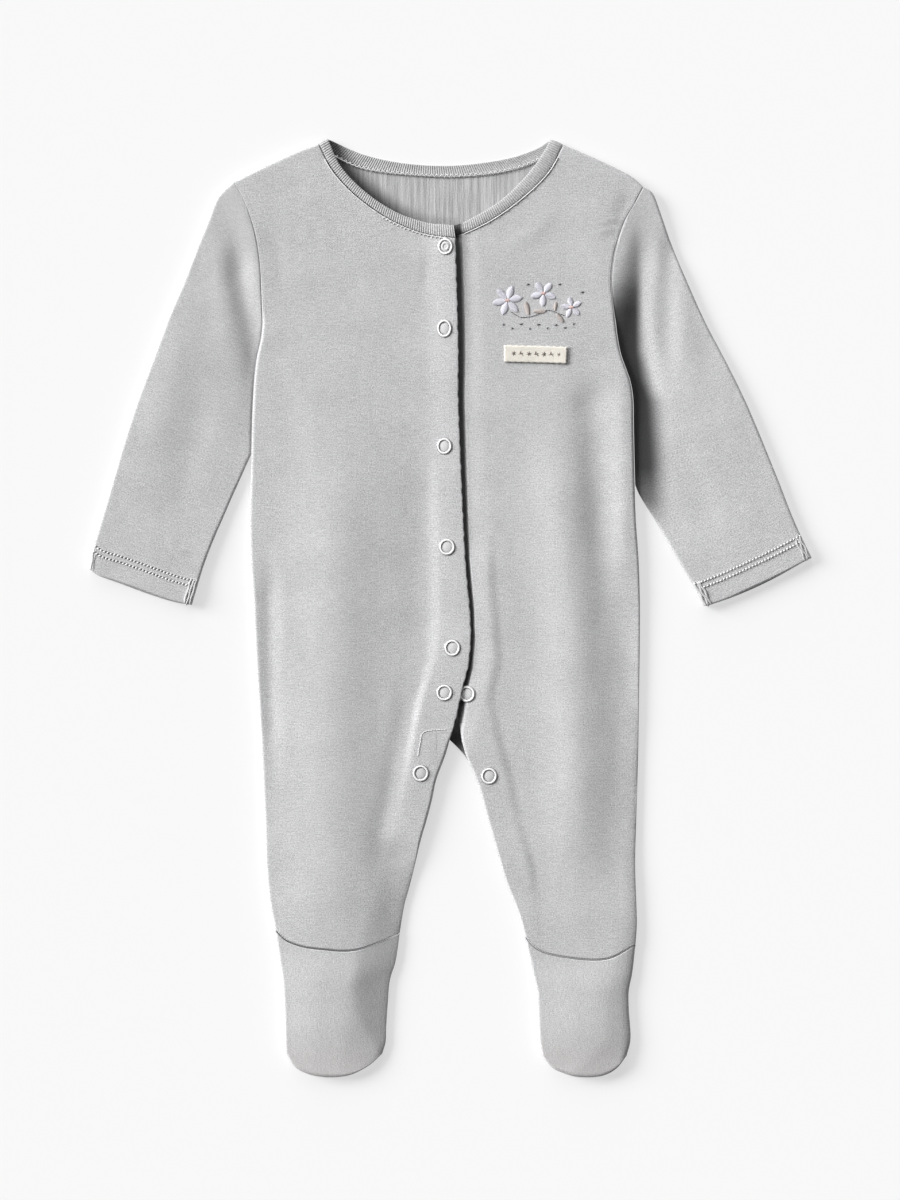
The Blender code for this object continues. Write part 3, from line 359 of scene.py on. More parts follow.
# %% Crease tables
CREASES_R = [
    (25, 2.9, [
        (-60, 130), (-63, 73), (-65, 20), (-66.5, -40), (-68, -110),
        (-67.5, -172), (-66, -245),
    ]),
    (12, -0.9, [(-17, 95), (-16, 40), (-17, -15), (-22, -45)]),
    (6.5, -0.8, [
        (-22, -38), (-27, -66), (-33, -98), (-39, -125), (-43, -150),
    ]),
    (12, -1.4, [(-34, -128), (-29, -150), (-26, -190)]),
    (5, -1, [(-103, 35), (-103, -30), (-101, -95)]),
    (9, 0.4, [(-98, 150), (-80, 120), (-76, 80)]),
    (4, 0.25, [(-88, 238), (-70, 233), (-52, 221)]),
    (5, -0.3, [(-104, 222), (-98, 200), (-97, 175)]),
    (3, -0.25, [(-12, 203), (-15, 180)]),
]
CREASES_L = [
    (15, 2.2, [
        (60, 120), (63.5, 62), (68, 16), (70.5, -29), (72, -75),
        (72, -120), (72, -172),
    ]),
    (10, -1.9, [(79, 138), (83, 100), (85, 65), (87, 20)]),
    (13, -1.6, [(96, 35), (99, 0), (101, -60), (101, -120), (99, -165)]),
    (8, -0.6, [(86, 45), (87, 12), (88, -20)]),
    (5, 0.55, [(97, 150), (98.5, 110), (99.5, 60), (100.5, 10)]),
    (6, -0.7, [(105, 239), (100, 229), (96, 217), (94, 205)]),
    (7, -0.25, [(92, 125), (70, 112)]),
    (1.8, 0.22, [(84, 221), (97, 222), (106, 218)]),
    (1.8, 0.20, [(82, 214), (94, 216), (99, 214)]),
    (5, 0.3, [(30, 205), (48, 214), (60, 228)]),
    (2, -0.25, [(84, 62), (94, 58)]),
]
CREASES_SLEEVE_R = [
    (7, -2.1, [
        (-122.5, 214), (-121.2, 203), (-119.6, 187), (-115.4, 170),
        (-111.4, 153), (-109.5, 136), (-109.5, 120),
    ]),
    (8, 0.6, [(-134, 214), (-131, 190), (-128, 165), (-127, 140)]),
    (6, 0.5, [
        (-119.5, 237), (-115.5, 225), (-113, 216), (-110.5, 195), (-109.5, 172),
    ]),
    (11, 0.8, [(-150, 170), (-160, 130), (-172, 80)]),
    (9, -0.5, [(-138, 130), (-146, 95), (-156, 55)]),
    (2.2, 0.3, [(-163, 42), (-156, 34), (-147, 33)]),
]
CREASES_SLEEVE_L = [
    (8.5, -2.6, [(112, 220), (110, 190), (108.5, 165), (108, 140), (110, 108)]),
    (5.5, 0.45, [(117, 216), (114, 187), (113.5, 162), (116, 135)]),
    (6.5, -1.5, [(127, 224), (125.5, 205), (124, 180), (123.5, 155), (126, 130)]),
    (12, -0.8, [(138, 215), (141, 190), (145, 160), (152, 125)]),
    (8, -0.5, [(126, 100), (140, 70), (152, 40)]),
]
CREASES_BACK = [
    (5, 0.8, [(-70, 95), (-35, 88), (0, 92)]),
    (6, 0.9, [(18, 60), (48, 52), (80, 58)]),
    (4, 0.6, [(-30, -30), (-18, -48), (-6, -66)]),
    (4, 0.5, [(32, -28), (20, -46), (8, -62)]),
    (6, 0.8, [(-66, -80), (-64, -120), (-65, -165)]),
    (6, 0.7, [(66, -85), (70, -125), (73, -160)]),
    (5, 0.7, [(-60, 215), (-20, 205), (25, 207), (62, 216)]),
]
# how far the top front stands off along its free edge: (y, lift)
EDGE_LIFT = [
    (-125, 0), (-95, 0.4), (-78, 1.1), (-60, 1.5), (-30, 1.5), (-8, 1.3),
    (40, 1.2), (110, 1.3), (150, 1.6), (190, 2), (218, 2),
]
# open width beside that edge before the front below comes up: (y, width)
SLIT_WIDTH = [
    (-75, 4.8), (-63, 3.9), (-50, 3), (-30, 2.2), (30, 2.1), (100, 2.9),
    (159, 3.7), (200, 3.3), (215, 2.8),
]
# inner line of the facing under the top front: (y, x)
FACING_R = [
    (-143, -40), (-120.5, -35.5), (-98, -30), (-75, -26), (-52, -21.5),
    (-29.5, -15), (-6.5, -12.8), (28, -13.5), (62, -14), (96, -15),
]
# and under the lower front
FACING_L = [
    (-190, 50), (-150, 46.5), (-120.5, 38), (-98, 33.5), (-75, 27),
    (-52, 22.5), (-29.5, 27), (-6.5, 25), (16, 23),
]
on_top = (CREASES_R, CREASES_L, CREASES_SLEEVE_R, CREASES_SLEEVE_L)
print(sum(len(table) for table in on_top), "creases on top,", len(CREASES_BACK), "below")

# %% [markdown]
# ## Laying out a panel
# Every panel is a grid between a left and a right curve. Rows join equal places
# on the two side curves, and their ends bend to follow the top and the bottom
# curve, so the grid's borders are the panel's seams. Points crowd together at the
# edges, where the roll needs them.

# %% Panel layout
def rows_through(*keys):
    """Row places on both side curves from keys of (left, right, spacing up to the next key)."""
    stretches = [
        np.linspace((a, b), (c, d), int(np.ceil(max(c - a, d - b) / cell)), endpoint=False)
        for (a, b, cell), (c, d, _) in zip(keys[:-1], keys[1:])
    ]
    return np.vstack(stretches + [[keys[-1][:2]]])


def edge_places(roll, count=7):
    """Distances from an edge, close together at it: roll times one less a cosine."""
    return roll * (1 - np.cos(np.linspace(0, np.pi / 2, count)))


class Layout:
    """Grid of points: straight rows, plus the bend of the top and bottom curves.

    Each bend fades inwards by a square, of v for the bottom and of 1 - v for the top.
    """

    def __init__(self, sides, rows, ends, cells, left_edge=None, right_edge=None):
        (left, right), (top, low) = sides, ends
        a, b = at(left, rows[:, 0]), at(right, rows[:, 1])
        width = np.linalg.norm(b - a, axis=1)
        width[0], width[-1] = arc(top)[-1], arc(low)[-1]
        first = edge_places(ROLL) if left_edge is None else left_edge
        last = edge_places(ROLL) if right_edge is None else right_edge
        first = np.broadcast_to(first, (len(rows), np.shape(first)[-1]))
        last = np.broadcast_to(last, (len(rows), np.shape(last)[-1]))
        share = np.linspace(0, 1, cells + 1)[1:-1]
        middle = first[:, -1:] + (width[:, None] - first[:, -1:] - last[:, -1:]) * share
        self.u = np.hstack([first, middle, width[:, None] - last[:, ::-1]]) / width[:, None]
        self.v = 0.5 * (rows[:, 0] / rows[-1, 0] + rows[:, 1] / rows[-1, 1])
        u, v = self.u[..., None], self.v[:, None, None]
        bend_top = at(top, self.u * arc(top)[-1]) - (1 - u) * a[0] - u * b[0]
        bend_low = at(low, self.u * arc(low)[-1]) - (1 - u) * a[-1] - u * b[-1]
        straight = (1 - u) * a[:, None] + u * b[:, None]
        self.xy = straight + (1 - v) ** 2 * bend_top + v**2 * bend_low
        self.x, self.y = self.xy[..., 0], self.xy[..., 1]
        self.from_left = self.u * width[:, None]
        self.from_right = (1 - self.u) * width[:, None]
        left_rest, right_rest = (rows[-1] - rows).T[..., None]
        self.from_top = (1 - self.u) * rows[:, :1] + self.u * rows[:, 1:]
        self.from_low = (1 - self.u) * left_rest + self.u * right_rest
        self.rows = rows

    def outline_area(self):
        """Area inside the grid's border, in square metres."""
        return area_of(self.xy[0], self.xy[:, -1], self.xy[-1, ::-1], self.xy[::-1, 0])


def surface(layout, z):
    """Points of a layout at the heights z, as a grid."""
    return np.concatenate([layout.xy, z[..., None]], axis=-1)


print("an edge is sampled at", np.round(edge_places(ROLL), 2), "mm")

# %% [markdown]
# ## From grids to meshes
# A piece is one grid, or several that share a border, as a sleeve's two layers do.
# Points that fall together are made one, and a Solidify modifier gives the cloth
# its wall on the inside, so the outer face stays where the pattern puts it. The UV
# map holds real metres, which keeps the knit at one scale on every piece.

# %% Mesh tools
def grid_quads(rows, columns, flip=False):
    """Corner numbers of a grid's quads, turned over for a face that looks down."""
    index = np.arange(rows * columns).reshape(rows, columns)
    quads = np.stack([index[:-1, :-1], index[1:, :-1], index[1:, 1:], index[:-1, 1:]], axis=-1)
    quads = quads.reshape(-1, 4)
    return quads[:, ::-1] if flip else quads


def new_mesh(name, points, faces, corner_uv=None):
    """Mesh from points in mm and arrays of faces; UV values are given for each face corner."""
    mesh = bpy.data.meshes.new(name)
    corners = np.concatenate([f.ravel() for f in faces])
    sizes = np.concatenate([np.full(len(f), f.shape[1]) for f in faces])
    mesh.vertices.add(len(points))
    mesh.vertices.foreach_set("co", (np.asarray(points) * MM).ravel())
    mesh.loops.add(len(corners))
    mesh.loops.foreach_set("vertex_index", corners.astype(np.int32))
    mesh.polygons.add(len(sizes))
    starts = np.concatenate([[0], np.cumsum(sizes)[:-1]])
    mesh.polygons.foreach_set("loop_start", starts.astype(np.int32))
    mesh.polygons.foreach_set("use_smooth", np.ones(len(sizes), bool))
    if corner_uv is not None:
        uv_map = mesh.uv_layers.new(name="cloth")
        uv_map.data.foreach_set("uv", corner_uv.ravel().astype(np.float32))
    mesh.update(calc_edges=True)
    mesh.validate()
    return mesh


def place(name, mesh, look, slot):
    """Puts a mesh into the scene on the garment's one body, with its finish."""
    piece = bpy.data.objects.new(name, mesh)
    bpy.context.scene.collection.objects.link(piece)
    mesh.materials.append(look)
    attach(piece, "root")
    return piece


def write_painted_shade(mesh, share):
    """Writes each point's painted shade, how far it lies out of the light, 0 to 1, for the finish
    to darken its colour by.
    """
    attribute = mesh.attributes.new("painted_shade", "FLOAT", "POINT")
    attribute.data.foreach_set("value", share.astype(np.float32))


def cloth(name, grids, look, slot, wall=WALL, faced=None, inside=None, painted_shade=None):
    """A cloth piece from grids of (points, uv, looks down), welded where they meet.

    `faced` marks the points with a thicker wall, `inside` is the finish of the other
    face, and the last argument is each grid's share of painted shade, where it lies out of the
    light.
    """
    points = np.vstack([p.reshape(-1, 3) for p, _, _ in grids])
    uv = np.vstack([w.reshape(-1, 2) for _, w, _ in grids])
    starts = np.cumsum([0] + [p.shape[0] * p.shape[1] for p, _, _ in grids[:-1]])
    quads = np.vstack([
        grid_quads(*p.shape[:2], flip) + start for (p, _, flip), start in zip(grids, starts)
    ])
    _, first, back = np.unique(
        np.round(points, 2), axis=0, return_index=True, return_inverse=True,
    )
    back = back.ravel()
    mesh = new_mesh(name, points[first], [back[quads]], uv[quads.ravel()])
    if painted_shade is not None:
        write_painted_shade(mesh, np.concatenate([h.ravel() for h in painted_shade])[first])
    piece = place(name, mesh, look, slot)
    shell = piece.modifiers.new("wall", "SOLIDIFY")
    shell.thickness = wall * MM
    shell.offset = -1.0
    if inside is not None:
        mesh.materials.append(inside)
        shell.material_offset = 1
    if faced is not None:
        group = piece.vertex_groups.new(name="faced")
        group.add(np.flatnonzero(faced.ravel()[first]).tolist(), 1.0, "REPLACE")
        shell.thickness = FACED_WALL * MM
        shell.vertex_group = "faced"
        shell.thickness_vertex_group = wall / FACED_WALL
    print(name, len(quads), "quads")
    return piece


def area_of(*outline):
    """Area inside curves that close on each other, by the shoelace sum, in square metres."""
    chain = np.vstack(outline)
    x, y = chain.T
    return 0.5 * abs(np.sum(x * np.roll(y, -1) - y * np.roll(x, -1))) * MM * MM


def flat_uv(layout, shift=0.0):
    """UV in metres, straight off the pattern, shifted so that no two pieces match."""
    return layout.xy * MM + shift


def along_uv(layout, shift=0.0):
    """UV in metres across and along a tapering piece, so that the knit follows it."""
    across = (layout.u - 0.5) * np.median(layout.from_left[:, -1])
    along = 0.5 * (layout.rows[:, :1] + layout.rows[:, 1:]) + 0 * layout.u
    return np.stack([across, -along], axis=-1) * MM + shift


print("mesh tools ready")

# %% [markdown]
# ## Heights of the two fronts
# The wearer's right front laps over the left. Its faced band is stiffer and stands
# off along the free edge, so a step shows where the facing ends. The left front
# drops into a narrow channel beside that edge, which is the dark line down the
# middle of the garment, dark from its depth and from painted shade, and comes up
# again past it.

# %% Front heights
# the facing's step on the body and on the leg: part of the lift, start and width
STEP_SHARE = (0.65, 0.88)
STEP_START = (0.5, 1.4)
STEP_WIDTH = (7.5, 4.2)
BAND_RISE = 22.0      # width over which the rest of the lift comes
CHEST_TILT = 20.0     # on the chest the whole lift comes over this width, with no step
LEFT_REACH = 7.0      # width of the lower facing's step
CLIMB_SHARE = 0.78    # part of the climb out of the channel that comes at once
SLOW_CLIMB = 14.0     # width over which the rest comes
# how far the facing lifts the left front, uneven along it: (y, lift)
LEFT_STEPS = [
    (-185, 0.2), (-166, 0.35), (-145, 0.9), (-121, 0.5), (-98, 0.95),
    (-78, 1), (-52, 0.65), (-30, 0.8),
]


def table_at(y, table):
    """Value of a (y, value) table at the height y, straight between its rows."""
    rows = np.asarray(table, float)
    order = np.argsort(rows[:, 0])
    return np.interp(y, rows[order, 0], rows[order, 1])


def opening_x(y):
    """X of the top front's free edge, and below it of the inside leg."""
    line = np.array(FRONT_EDGE + INNER_LEG_R[1:])
    return np.interp(-y, -line[:, 1], line[:, 0])


def top_front(x, y):
    """Level height, plus the lift along the opening, the creases and the waves.

    The lift is a smooth step and a straight rise on the body and the leg, and one
    smooth rise on the chest.
    """
    inward = opening_x(y) - x
    facing = x - table_at(y, FACING_R)
    leg = ease((-20.0 - y) / 40.0)
    share = between(STEP_SHARE, leg)
    step = ease((facing - between(STEP_START, leg)) / between(STEP_WIDTH, leg))
    stepped = share * step + (1 - share) * np.clip(facing / BAND_RISE, 0, 1)
    tilted = ease((CHEST_TILT - inward) / CHEST_TILT)
    lift = table_at(y, EDGE_LIFT) * between((tilted, stepped), ease((100.0 - y) / 50.0))
    return FRONT_TOP + lift + creases(x, y, CREASES_R) + settled(x, y)


def under_front(x, y):
    """Level height with its creases, blended into the channel beside the other front's edge."""
    beyond = x - opening_x(y)
    width = table_at(y, SLIT_WIDTH)
    clear = CLIMB_SHARE * ease((beyond - 0.3 * width) / (1.1 * width))
    clear += (1 - CLIMB_SHARE) * ease((beyond - 1.0) / SLOW_CLIMB)
    faced = 1 - ease((x - table_at(y, FACING_L) + 3.0) / LEFT_REACH)
    lift = table_at(y, LEFT_STEPS) * faced * ease((45.0 - y) / 25.0)
    high = FRONT_TOP + lift + creases(x, y, CREASES_L) + settled(x + 40.0, y)
    return between((UNDER_DEEP, high), clear)


def side_turn(y):
    """0 along the armhole, 1 below the underarm, where the side folds round to the back."""
    return ease((UNDERARM_Y + 10.0 - y) / 10.0)


print("the channel is up to", max(width for _, width in SLIT_WIDTH), "mm wide")

# %% [markdown]
# ## Places out of the light
# Hardly any light reaches the bottom of the channel, the inside of the neck or the
# cloth tucked under the arms, and the sides that face away from the light stay
# dim. The broad lights of this scene still fill them. So each point of the cloth
# carries a number from 0 to 1, and the finish darkens its colour by it. More real
# depth would do it too, but the garment would no longer lie flat.

# %% Painted shade: shares out of the light
# shares of painted shade
SLIT_DARK = 0.80           # at the bottom of the channel
SLIT_END = CROTCH_Y - 7.0  # where the channel runs out
CHEST_SHADE = 0.32         # beside the channel on the chest, at most
CHEST_SHADE_WIDTH = 11.0
# painted shade on the left side of each leg's end: share and width
CALF_SHADE_R = (0.20, 22.0)
CALF_SHADE_L = (0.13, 11.0)


def slit_share(x, y):
    """Painted shade: full in the channel up to 0.6 of its width, and a fading strip beside it on
    the chest.
    """
    beyond = x - opening_x(y)
    past = ease((beyond / table_at(y, SLIT_WIDTH) - 0.6) / 0.5)
    channel = SLIT_DARK * (1 - past) * ease((y - SLIT_END) / 4.0)
    beside_it = CHEST_SHADE * ease((y - 80.0) / 90.0) * (1 - ease(beyond / CHEST_SHADE_WIDTH))
    return np.maximum(channel, beside_it)


def turned_away(lay, share, width):
    """Painted shade, the given share, on a strip along a leg's left side from the calf down."""
    strip_edge = ease((width - lay.from_right) / 9.0 + 0.5)
    return share * ease((-166.0 - lay.y) / 22.0) * strip_edge


print("the channel's floor lies", SLIT_DARK, "out of the light")

# %% [markdown]
# ## Look of the grey interlock
# Heather cotton is spun from light and dark fibres, so it shows fine streaks along
# the courses and no flat colour anywhere. The knit itself is a field of small
# stitches, fourteen or so to the centimetre. Both could be drawn as an image, but
# noise and two crossing sines on the cloth's own UV map stay sharp at any zoom.

# %% Node tools
def finish(name, roughness, **sockets):
    """A node material and its shader, with the values that are the same all over set on it."""
    look = bpy.data.materials.new(name)
    look.use_nodes = True
    shader = look.node_tree.nodes["Principled BSDF"]
    shader.inputs["Roughness"].default_value = roughness
    for socket, value in sockets.items():
        shader.inputs[socket.replace("_", " ")].default_value = value
    return look, shader


def node(look, kind, inputs=(), **settings):
    """Adds a node, sets its properties and fills its inputs with values or nodes' outputs."""
    made = look.node_tree.nodes.new(kind)
    for key, value in settings.items():
        setattr(made, key, value)
    for key, value in dict(inputs).items():
        if isinstance(value, bpy.types.NodeSocket):
            look.node_tree.links.new(value, made.inputs[key])
        else:
            made.inputs[key].default_value = value
    return made


def math(look, operation, a, b=0.0, c=0.0):
    """One arithmetic step on two or three values."""
    return node(look, "ShaderNodeMath", {0: a, 1: b, 2: c}, operation=operation).outputs[0]


def bumped(look, shader, height, distance, strength=1.0):
    """Lets a height, in turns of the given distance in metres, tilt the shader's normals."""
    inputs = {"Strength": strength, "Distance": distance, "Height": height}
    bump = node(look, "ShaderNodeBump", inputs)
    look.node_tree.links.new(bump.outputs[0], shader.inputs["Normal"])


print("node tools ready")

# %% Pattern tools
# painted shade: the colour that cloth is darkened towards where next to no light gets in
DEEP_SHADE = (0.03, 0.03, 0.031, 1.0)   # cloth where next to no light gets in


def cloth_map(look, scale, turn=0.0):
    """The cloth's UV map in metres, turned and scaled to cells per metre."""
    uv = node(look, "ShaderNodeUVMap", uv_map="cloth").outputs[0]
    inputs = {"Vector": uv, "Rotation": (0, 0, turn), "Scale": (*scale, 1.0)}
    return node(look, "ShaderNodeMapping", inputs).outputs[0]


def noise(look, vector, detail=2.0, rough=0.5):
    """Soft noise around 0.5 with cells as large as the vector's units."""
    inputs = {"Vector": vector, "Scale": 1.0, "Detail": detail, "Roughness": rough}
    return node(look, "ShaderNodeTexNoise", inputs).outputs["Fac"]


def ramp(look, value, *stops):
    """Colour ramp from (place, colour) stops."""
    made = node(look, "ShaderNodeValToRGB", {"Fac": value})
    ends = made.color_ramp.elements
    for place, colour in stops[2:]:
        ends.new(place)
    for stop, (place, colour) in zip(ends, sorted(stops)):
        stop.position, stop.color = place, (*colour, 1.0)
    return made.outputs["Color"]


def tinted(look, amount, a, b):
    """Mix of two colours by an amount."""
    made = node(look, "ShaderNodeMix", {"Factor": amount, "A": a, "B": b}, data_type="RGBA")
    return made.outputs["Result"]


def out_of_light(look, shade):
    """Paints shade: darkens a colour by the piece's share out of the light, where next to no light
    gets in.
    """
    share = node(look, "ShaderNodeAttribute", attribute_name="painted_shade").outputs["Fac"]
    return tinted(look, share, shade, DEEP_SHADE)


print("pattern tools ready")

# %% Interlock
COTTON = (0.566, 0.566, 0.572)
SOFT_COTTON = {"Specular_IOR_Level": 0.2, "Sheen_Weight": 0.12, "Sheen_Roughness": 0.6}
TURN = 2 * np.pi


def knit(
    name, colour, wale=1400.0, course=1600.0, depth=0.00007, streak=0.36,
    slub=(170.0, 1200.0), warm=None, ribs=0.0,
):
    """Heather knit: noise drawn out along the courses for colour, crossing sines for the stitches.

    Slubs, short fibres and blotches drive a ramp that is `streak` darker and lighter
    than the colour. A stitch is a sine across the wales and one down them, leaning
    like a V. `warm` is a place and a tint, `ribs` how dark the rib valleys are painted,
    as painted shade. The colour is then darkened by the piece's painted shade.
    """
    look, shader = finish(name, 0.95, **SOFT_COTTON)
    slubs = noise(look, cloth_map(look, slub), 3.0, 0.65)
    short_fibres = noise(look, cloth_map(look, (1300.0, 1900.0)), 1.0, 0.6)
    blotches = noise(look, cloth_map(look, (30.0, 45.0)), 2.0, 0.5)
    mixed = math(look, "MULTIPLY_ADD", slubs, 0.28, math(look, "MULTIPLY", short_fibres, 0.64))
    mixed = math(look, "MULTIPLY_ADD", blotches, 0.08, mixed)
    dark = tuple(c * (1 - streak) for c in colour)
    light = tuple(min(c * (1 + streak), 1.0) for c in colour)
    shade = ramp(look, mixed, (0.34, dark), (0.66, light))
    if warm is not None:
        place, tint = warm
        shade = tinted(look, place(look), shade, (*tint, 1.0))
    wobble = math(look, "MULTIPLY", blotches, 5.0)
    cells = node(look, "ShaderNodeSeparateXYZ", {0: cloth_map(look, (wale, course))}).outputs
    turned = math(look, "MULTIPLY_ADD", cells[0], TURN, wobble)
    across = math(look, "SINE", turned)
    lean = math(look, "ABSOLUTE", math(look, "SINE", math(look, "MULTIPLY", turned, 0.5)))
    down = math(look, "MULTIPLY_ADD", cells[1], TURN, math(look, "MULTIPLY", lean, 2.2))
    low_wave = math(look, "MULTIPLY", math(look, "SINE", down), 0.12)
    stitch = math(look, "MULTIPLY_ADD", across, 0.12, low_wave)
    # painted shade in the rib valleys: a cosine across the ribs darkens the colour
    if ribs:
        per_rib = cloth_map(look, (1.0 / (RIB_PERIOD * MM), 1.0))
        waves = node(look, "ShaderNodeSeparateXYZ", {0: per_rib}).outputs[0]
        valley = math(look, "COSINE", math(look, "MULTIPLY", waves, TURN))
        rib_valley_shade = math(look, "MULTIPLY_ADD", valley, -0.5 * ribs, 0.5 * ribs)
        shade = tinted(look, rib_valley_shade, shade, (0.0, 0.0, 0.0, 1.0))
    # painted shade: the piece's share out of the light darkens the colour
    look.node_tree.links.new(out_of_light(look, shade), shader.inputs["Base Color"])
    bumped(look, shader, math(look, "MULTIPLY_ADD", short_fibres, 3.0, stitch), depth)
    return look


interlock = knit("grey_interlock", COTTON)
print("interlock has 14 wales and 16 courses to the centimetre")

# %% Inside of the interlock
def inner_knit(name, colour):
    """Long uneven lines along the wales, from noise drawn out along the garment."""
    look, shader = finish(name, 0.95, **SOFT_COTTON)
    wide = noise(look, cloth_map(look, (520.0, 18.0)), 2.0, 0.6)
    fine = noise(look, cloth_map(look, (1300.0, 70.0)), 2.0, 0.6)
    lines = math(look, "MULTIPLY_ADD", wide, 0.6, math(look, "MULTIPLY", fine, 0.4))
    speckle = noise(look, cloth_map(look, (1500.0, 1500.0)), 1.0, 0.6)
    lines = math(look, "MULTIPLY_ADD", speckle, 0.25, math(look, "MULTIPLY", lines, 0.75))
    dark, light = (tuple(share * c for c in colour) for share in (0.62, 1.06))
    shade = ramp(look, lines, (0.38, dark), (0.60, light))
    # painted shade from the piece's share out of the light, as on the outside
    look.node_tree.links.new(out_of_light(look, shade), shader.inputs["Base Color"])
    bumped(look, shader, lines, 0.0006)
    return look


interlock_inside = inner_knit("grey_interlock_inside", COTTON)
print("the inside shows its wales")

# %% [markdown]
# ## Wearer's right front
# This panel runs from the shoulder to the ankle in one piece. Its armhole edge is
# drawn into a seam, its side folds round to the back, its free edge is a faced
# band, and its inside leg lies down on the back. A sheet could be folded by a
# simulation; a rule for each edge gives the same rolls and never slips.

# %% Right front
ARMHOLE_DIP_R = (0.04, 0.30)   # how far this seam draws in at the shoulder, and lower down
ARMHOLE_ROLL_R = 1.4
EDGE_RIPPLE = 0.16    # how far the free edge wanders from its line
CALF_LOW = 2.3        # the inside of the calf falls to this height,
CALF_REACH = 22.0     # over this width
CALF_POWER = 1.8      # and rounder than an edge


def front_rows(outer, outer_marks, inner, inner_marks):
    """Places on the outer and the inner side, through the neck, the underarm and the crotch."""
    neck, crotch, ankle = inner_marks
    return rows_through(
        (0.0, 0.0, TOP_CELL), (2.0, 2.0, FINE_CELL), (5.0, 5.0, CELL), (62.0, neck, CELL),
        (outer_marks[0], neck + 26.0, CELL),
        (length_at_y(outer, 100.0), length_at_y(inner, 100.0), CELL),
        (outer_marks[1], crotch, CELL), (outer_marks[2] - 4.0, ankle - 4.0, SEAM_CELL),
        (outer_marks[2], ankle, SEAM_CELL),
    )


def front_right():
    """Grid between the armhole side and the neck side, with four rolled edges."""
    left, left_marks = joined(rounded(ARMHOLE_R), rounded(SIDE_R), rounded(OUTER_LEG_R))
    right, right_marks = joined(rounded(NECKLINE_R), rounded(FRONT_EDGE), rounded(INNER_LEG_R))
    rows = front_rows(left, left_marks, right, right_marks)
    lay = Layout((left, right), rows, (rounded(SHOULDER_R), rounded(ANKLE_R)), 74)
    ripple = np.sin(1.15 * lay.y) + np.sin(0.67 * lay.y + 1.0)
    ripple = EDGE_RIPPLE * ripple * bell(lay.from_right, 1.5)
    lay.x -= ripple * ease((212.0 - lay.y) / 6.0) * ease((lay.y + 72.0) / 6.0)
    z = top_front(lay.x, lay.y)
    turn = side_turn(lay.y)
    leg = ease((CROTCH_Y + 6.0 - lay.y) / 14.0)
    band = ease((212.0 - lay.y) / 3.0) * (1 - leg)
    calf = ease((-130.0 - lay.y) / 30.0)
    dip = between(ARMHOLE_DIP_R, ease((196.0 - lay.y) / 18.0))
    seam_low = between((z - dip, FRONT_FALL), turn)
    z = edged(
        z, (lay.from_left, seam_low, between((ARMHOLE_ROLL_R, ROLL), turn)),
        (lay.from_right, between((z - FREE_DIP, LEG_FALL), leg), between((FREE_ROLL, ROLL), leg)),
        (lay.from_right, between((z, CALF_LOW), calf), CALF_REACH, CALF_POWER),
        (lay.from_top, FRONT_FALL, ROLL), (lay.from_low, z - ANKLE_DIP, ANKLE_ROLL),
    )
    faced = (lay.x > table_at(lay.y, FACING_R)) & (band > 0.5)
    grid = surface(lay, z)
    piece = cloth(
        "front_right_cloth", [(grid, flat_uv(lay), False)], interlock, "jersey",
        faced=faced, painted_shade=[turned_away(lay, *CALF_SHADE_R)],
    )
    return piece, lay.outline_area(), lay, grid


right_front, right_front_area, right_lay, right_grid = front_right()
print("right front covers", round(right_front_area * 1e4, 1), "square cm")

# %% [markdown]
# ## Wearer's left front
# The hidden part under the lap is the button stand. Columns are set close together
# beside the other front's edge, where the cloth falls into the channel and comes
# up again within two or three millimetres.

# %% Left front
# places of the first columns past the other front's edge
PAST_EDGE = np.array([0.5, 1.0, 1.5, 2.0, 2.5, 3.0, 3.5, 4.1, 4.8, 5.7, 6.8, 8.0])
OUTER_FALL = 1.5      # how far the leg's outer side falls before it rolls over,
OUTER_REACH = 9.0     # over this width
OUTER_POWER = 2.0


def channel_columns(start):
    """Places of the first columns in each row: close together up to and past the channel.

    Above the neck and below the crotch they crowd at the rolled edge in its place.
    """
    tucked = np.maximum(opening_x(start[:, 1]) - start[:, 0], 1.0)[:, None]
    beside_edge = np.hstack([tucked * np.linspace(0, 1, 6), tucked + PAST_EDGE])
    rolled = np.concatenate([edge_places(ROLL, 8), ROLL + np.linspace(1, 9, 10)])
    on_band = ease((start[:, 1] - CROTCH_Y - 25.0) / 20.0) * ease((215.0 - start[:, 1]) / 4.0)
    return between((rolled, beside_edge), on_band[:, None])


